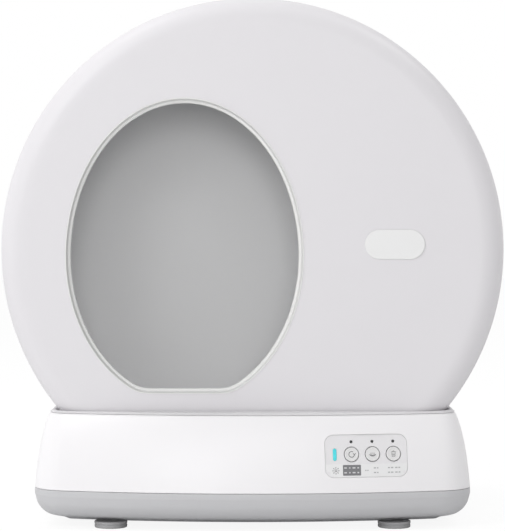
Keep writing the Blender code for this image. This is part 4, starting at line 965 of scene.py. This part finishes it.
def onStrip(grid):
    # carry flat marks of the panel's plane onto the casing's curve, just proud of the panel
    at, endless, second = grid
    flat = np.array(panelFrame.inverted())
    local = at @ flat[:3, :3].T + flat[:3, 3]
    heights = panel["z"] + local[..., 2] * cos(strip["lean"])
    inset = insetAt(heights)
    angle = np.arcsin(panel["x"] / (base["bow"] - insetAt(panel["z"]))) + local[..., 0] / (base["bow"] - inset)
    radius = base["bow"] - inset - panel["sink"] - local[..., 1]
    y = (base["bow"] - base["halfDepth"]) - radius * np.cos(angle)
    return np.stack([radius * np.sin(angle), y, heights], -1), endless, second


def dash(start, level, long, width, front=0.0):
    return stroke([(start, level), (start + long, level)], width, front)


def stripMarks():
    # flat strokes: a ring with rays, a band whose width falls off as a circle at its ends, and level dashes
    z, middle = strip["z"], np.array((strip["sunX"], strip["z"]))
    sun = [stroke(middle + arcPoints(strip["sun"], 0, 360)[:-1], strip["sunLine"], 0.0, True)]
    for angle in np.arange(strip["rays"]) * tau / strip["rays"]:
        way = np.array((cos(angle), sin(angle)))
        ray = [middle + way * strip["rayFrom"], middle + way * strip["rayTo"]]
        sun.append(stroke(ray, strip["rayLine"], 0.0))
    half, corner = strip["blockHalf"], strip["corner"]
    ends = np.linspace(-half, corner - half, 5)
    run = np.concatenate([ends, np.linspace(corner - half, half - corner, 16)[1:-1], -ends[::-1]])
    short = np.clip(np.abs(run) - half + corner, 0, corner)  # how far into an end's round corner
    heights = strip["blockHeight"] - 2 * (corner - np.sqrt(corner ** 2 - short ** 2))
    level = z + strip["blockLift"]
    block = [stroke(np.stack([strip["blockX"] + run, np.full(len(run), level)], 1), heights, 0.0)]
    pale, grey = [], []
    for row in (-1, 1):
        for column, long in enumerate(strip["dashes"]):
            start = strip["dashX"] + column * strip["dashPitch"] - long / 2
            pale.append(dash(start, level + row * strip["dashRow"], long, strip["dashLine"], -inkThick))
    for x, rows, lengths in strip["groups"]:
        for row in rows:
            start = x - strip["lead"]
            for long in lengths:
                grey.append(dash(start, z + row * strip["rowGap"] / 2, long, strip["markLine"]))
                start += long + strip["space"]
    return sun, block, pale, grey


stripNames = ("stripSun", "stripBlock", "stripBlockMarks", "stripMarks")
for name, grids, look in zip(stripNames, stripMarks(), (inkDark, inkBlock, inkPale, inkGrey)):
    settle(shape(name, *[onStrip(grid) for grid in grids]), (look,), "base", "nylon_dark")
print("printed strip made")


# Power inlet: a turned socket with its pin

def powerInlet():
    # a profile from the pin over the bore, flange and body, turned about the inlet's axis
    end, flange, sink = jack["sink"] + jack["depth"], jack["sink"] + jack["flangeDepth"], jack["sink"]
    profile = rounded([
        (0.0, flange), (jack["pin"], flange), (jack["pin"], end), (jack["bore"], end), (jack["bore"], sink),
        (jack["flange"], sink), (jack["flange"], flange), (jack["body"], flange),
        (jack["body"], jack["length"]), (0.0, jack["length"]),
    ], jack["bends"], 4)
    return shape("powerInlet", placed(turnedGrid(profile, jack["around"]), jackFrame))


settle(powerInlet(), (darkNylon,), "base", "nylon_dark", "power_jack")


# Waste drawer: cover with a finger cup, latch, and a tub lofted from round-cornered plans

drawer = {
    "cover": 0.003, "gap": 0.0003, "overrun": 0.01,
    # how far in and how far behind the face each ring of its front edge lies
    "edge": ((0.0, 0.0006), (0.0002, 0.0002), (0.0006, 0.0), (0.004, 0.0)),
    "cupWidth": 0.100, "cupLow": 0.022, "cupHeight": 0.036, "cupDepth": 0.020, "cupWall": 0.0025,
    "cupCorner": 0.0045, "cupOuterCorner": 0.006,
}
latch = {
    "radius": 0.008, "z": 0.075, "flange": 0.0105, "flangeThick": 0.002, "length": 0.014, "around": 64,
    "dish": 0.0007, "dishRim": 0.0006, "dishIn": 0.0022, "rimIn": 0.0010,
    "bends": (0, 0.002, 0.0008, 0.0006, 0, 0.0003, 0.0003, 0, 0.0005, 0),
}
tub = {
    "wall": 0.0025, "corner": 0.006, "cornerSteps": 6, "chamfer": 0.008, "floorIn": 0.02, "sideUp": 0.03,
    "mitre": 0.41, "bend": 0.003, "innerBend": 0.002, "brimDown": 0.0008, "brimIn": 0.0003,
}
coverX = (coverLow.x + coverHigh.x) / 2


def binCover():
    # the port's outline less its play, drawn in at the front edge; the cup and the latch's hole are carved
    face, back, over = coverHigh.y, coverHigh.y - drawer["cover"], drawer["overrun"]
    steps = [(0.0, back)] + [(drawn, face - behind) for drawn, behind in drawer["edge"]]
    rings = [standing(portOutline(port["play"] + drawn), y, axisZ) for drawn, y in steps]
    piece = shape("binCover", sweep(rings))
    width, height, wall = drawer["cupWidth"], drawer["cupHeight"], drawer["cupWall"]
    cupZ, deep = axisZ + drawer["cupLow"] + height / 2, face - drawer["cupDepth"]
    outer = roundBox(coverX, cupZ, width + 2 * wall, height + 2 * wall, drawer["cupOuterCorner"])
    inner = roundBox(coverX, cupZ, width, height, drawer["cupCorner"])
    latchHole = ringOutline(coverX, axisZ + latch["z"], latch["radius"] + drawer["gap"], latch["around"])
    return carve(
        piece, ("UNION", cutter("cupAdd", outer, deep - wall, face - drawer["cover"] / 2)),
        ("DIFFERENCE", cutter("cupCut", inner, deep, face + over)),
        ("DIFFERENCE", cutter("latchCut", latchHole, back - over, face + over)),
    )


def binLatch():
    # a dished button with a flange behind the cover and a stem, turned about its axis
    radius, length, seat = latch["radius"], latch["length"], -drawer["cover"] - drawer["gap"]
    behind = seat - latch["flangeThick"]
    profile = rounded([
        (0.0, -latch["dish"]), (radius - latch["dishIn"], -latch["dishRim"]), (radius - latch["rimIn"], 0.0),
        (radius, 0.0), (radius, seat), (latch["flange"], seat), (latch["flange"], behind),
        (radius / 2, behind), (radius / 2, -length), (0.0, -length),
    ], latch["bends"])
    spot = Matrix.Translation((coverX, coverHigh.y, axisZ + latch["z"]))
    return shape("binLatch", placed(turnedGrid(profile, latch["around"]), spot))


def wasteTub():
    # round-cornered plans stacked from the floor's chamfer up to the brim, then down again inside
    low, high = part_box("waste_bin")
    wall, chamfer, mitre = tub["wall"], tub["chamfer"], tub["wall"] * tub["mitre"]
    middle, half = (low.x + high.x) / 2, (high.x - low.x) / 2
    start, end = half - tub["floorIn"], low.z + tub["sideUp"]

    def plan(x, drawn, z):
        depth, corner = high.y - low.y - 2 * drawn, tub["corner"] - drawn
        flat = roundBox(middle, (low.y + high.y) / 2, 2 * (x - drawn), depth, corner, tub["cornerSteps"])
        return lying(flat, z)

    outside = [(start, low.z), (half - chamfer, low.z), (half, low.z + chamfer), (half, end)]
    inside = [
        (start, low.z + wall), (half - chamfer - mitre, low.z + wall),
        (half - wall, low.z + chamfer + mitre), (half - wall, end),
    ]
    shoulder, brim = high.z - tub["brimDown"], tub["brimIn"]
    plans = [plan(x, 0.0, z) for x, z in rounded(outside, tub["bend"])]
    plans += [plan(half, 0.0, shoulder), plan(half, brim, high.z)]
    plans += [plan(half, wall - brim, high.z), plan(half, wall, shoulder)]
    plans += [plan(x + wall, wall, z) for x, z in rounded(inside, tub["innerBend"])[::-1]]
    return shape("wasteTub", sweep(plans))


settle(binCover(), (coverWhite,), "waste_drawer", "shell_white", "bin_cover")
settle(binLatch(), (trayGrey,), "latch", "tray_grey", "bin_latch")
settle(wasteTub(), (binGrey,), "waste_drawer", "panel_grey", "waste_bin")
print("waste drawer made")


# Inner pieces: the solids' own forms, welded, with their edges eased

easing = {"flat": radians(1), "sharp": radians(40), "segments": 2}


def eased(node, name, look, body, slot, width):
    # flat faces are made whole, and edges sharper than an angle get a small bevel
    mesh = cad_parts[node].data.copy()
    merge(mesh, lambda bm: bmesh.ops.dissolve_limit(
        bm, angle_limit=easing["flat"], verts=bm.verts[:], edges=bm.edges[:]))
    piece = linked(name, mesh)
    soft = piece.modifiers.new("edges", "BEVEL")
    soft.width, soft.segments = width, easing["segments"]
    soft.limit_method, soft.angle_limit = "ANGLE", easing["sharp"]
    settle(piece, (look,), body, slot, node)


for row in (
    # solid, piece, look, body, slot, width of an eased edge
    ("bin_housing", "binHousing", housingGrey, "drum", "inner_grey", 0.0008),
    ("bin_flap", "binFlap", binGrey, "flap", "panel_grey", 0.0004),
    ("sieve_grid", "sieveGrid", housingGrey, "drum", "inner_grey", 0.0005),
    ("deodoriser_box", "scentBox", binGrey, "drum", "panel_grey", 0.0006),
    ("deodoriser_lid", "scentLid", binGrey, "drum", "panel_grey", 0.0004),
):
    eased(*row)
print("inner pieces eased")

# Pieces inside the base keep their solids and take a finish
finishes = {
    turnedSteel: ["flap_pin", "motor", *each("axle_")],
    platedSteel: ["drum_magnet", *each("load_cell_"), *each("bracket_screw_")],
    rollerRubber: each("roller_"),
    deckGrey: each("bracket_"),
    darkNylon: ["gearbox", "position_sensor"],
    paleNylon: ["drive_pinion"],
    boardGreen: ["control_board"],
}
for look, nodes in finishes.items():
    for node in nodes:
        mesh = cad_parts[node].data
        mesh.materials.clear()
        mesh.materials.append(look.material)
print("inner nodes finished:", sum(len(nodes) for nodes in finishes.values()))


# Studio: pale floor, even sky, a soft key from the upper left, weaker fills, and one for the chamber

studio = {
    "sky": 0.625, "lean": (-0.33, 0.22, 0.04), "reach": 12.0,
    "floor": 0.86, "floorGlow": 0.90, "floorShare": 0.14,
    "lights": (
        # name, place, aim, size, watts
        ("key", (-2.3, -2.4, 2.9), (0.0, 0.0, 0.35), 1.6, 24),
        ("side", (-2.6, -2.4, 2.3), (0.0, 0.0, 0.40), 1.6, 16),
        ("topRight", (2.2, 0.0, 3.6), (0.0, 0.0, 0.30), 1.6, 23),
        ("topLeft", (-1.9, 0.4, 3.8), (0.0, 0.0, 0.30), 1.6, 21),
        ("front", (0.3, -4.3, 1.3), (0.0, 0.0, 0.20), 1.2, 8),
        ("frontLeft", (-0.9, -4.2, 0.7), (0.0, 0.0, 0.20), 1.2, 16),
        ("chamberFill", (0.0, -2.5, 0.5), (-0.06, 0.19, 0.26), 0.4, 14),
    ),
    # chamberFill lights these alone, through the entrance, so that it adds nothing to the outside
    "chamber": (
        "drumRearHalf", "litterLiner", "ringGear", "binHousing", "binFlap", "sieveGrid", "scentBox", "scentLid",
    ),
}


def studioFloor():
    reach, share = studio["reach"], studio["floorShare"]
    mesh = bpy.data.meshes.new("floor")
    mesh.from_pydata([(x, y, 0.0) for x, y in rectangle(-reach, -reach, reach, reach)], [], [(0, 1, 2, 3)])
    floor = linked("floor", mesh)
    material = bpy.data.materials.new("floorPaint")
    material.use_nodes = True
    nodes = Nodes(material.node_tree)
    material.node_tree.nodes.clear()
    paint = nodes.node("ShaderNodeBsdfDiffuse", None, {"Color": (studio["floor"],) * 3 + (1.0,)})
    glow = {"Color": (1, 1, 1, 1), "Strength": studio["floorGlow"] / (1 - share)}
    glow = nodes.node("ShaderNodeEmission", None, glow)
    seen = nodes.node("ShaderNodeLightPath", output="Is Camera Ray")
    both = nodes.node("ShaderNodeMixShader", None, {0: seen * (1 - share), 1: paint, 2: glow})
    nodes.node("ShaderNodeOutputMaterial", None, {"Surface": both}, None)
    mesh.materials.append(material)
    floor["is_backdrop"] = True


def studioSky():
    world = bpy.data.worlds.new("sky")
    scene.world = world
    world.use_nodes = True
    nodes = Nodes(world.node_tree)
    path = nodes.node("ShaderNodeLightPath", output="Is Camera Ray")
    outs = path.socket.node.outputs
    seen = path + Wire(nodes, outs["Is Glossy Ray"]) + Wire(nodes, outs["Is Transmission Ray"])
    seen = nodes.node("ShaderNodeMath", {"operation": "MINIMUM"}, {0: seen, 1: 1.0})
    ground = world.node_tree.nodes["Background"]
    ground.inputs["Color"].default_value = (1, 1, 1, 1)
    heading = nodes.node("ShaderNodeTexCoord", output="Generated")
    values = {0: heading, 1: studio["lean"]}
    lean = nodes.node("ShaderNodeVectorMath", {"operation": "DOT_PRODUCT"}, values, "Value")
    even = (1 + lean) * studio["sky"]  # the sky brightens towards the upper left and the rear
    strength = even + seen * (1 - even)
    world.node_tree.links.new(strength.socket, ground.inputs["Strength"])


def studioLights():
    chamber = bpy.data.collections.new("chamber")
    for name in studio["chamber"]:
        chamber.objects.link(bpy.data.objects[name])
    for name, place, aim, size, watts in studio["lights"]:
        light = bpy.data.lights.new(name, "AREA")
        light.shape, light.size, light.energy = "DISK", size, watts
        holder = linked(name, light)
        holder.location = place
        holder.rotation_euler = (Vector(aim) - Vector(place)).to_track_quat("-Z", "Y").to_euler()
        holder.visible_camera = False
        if name == "chamberFill":
            holder.light_linking.receiver_collection = chamber


studioFloor()
studioSky()
studioLights()

camera = {"place": (0.0, -2.750, 0.358), "pitchDown": 1.07, "lens": 146.4, "sensor": 36.0}
lens = bpy.data.cameras.new("camera")
lens.lens, lens.sensor_width = camera["lens"], camera["sensor"]
viewer = linked("camera", lens)
viewer.location = camera["place"]
viewer.rotation_euler = (radians(90 - camera["pitchDown"]), 0.0, 0.0)
scene.camera = viewer
print("studio made")

low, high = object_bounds()
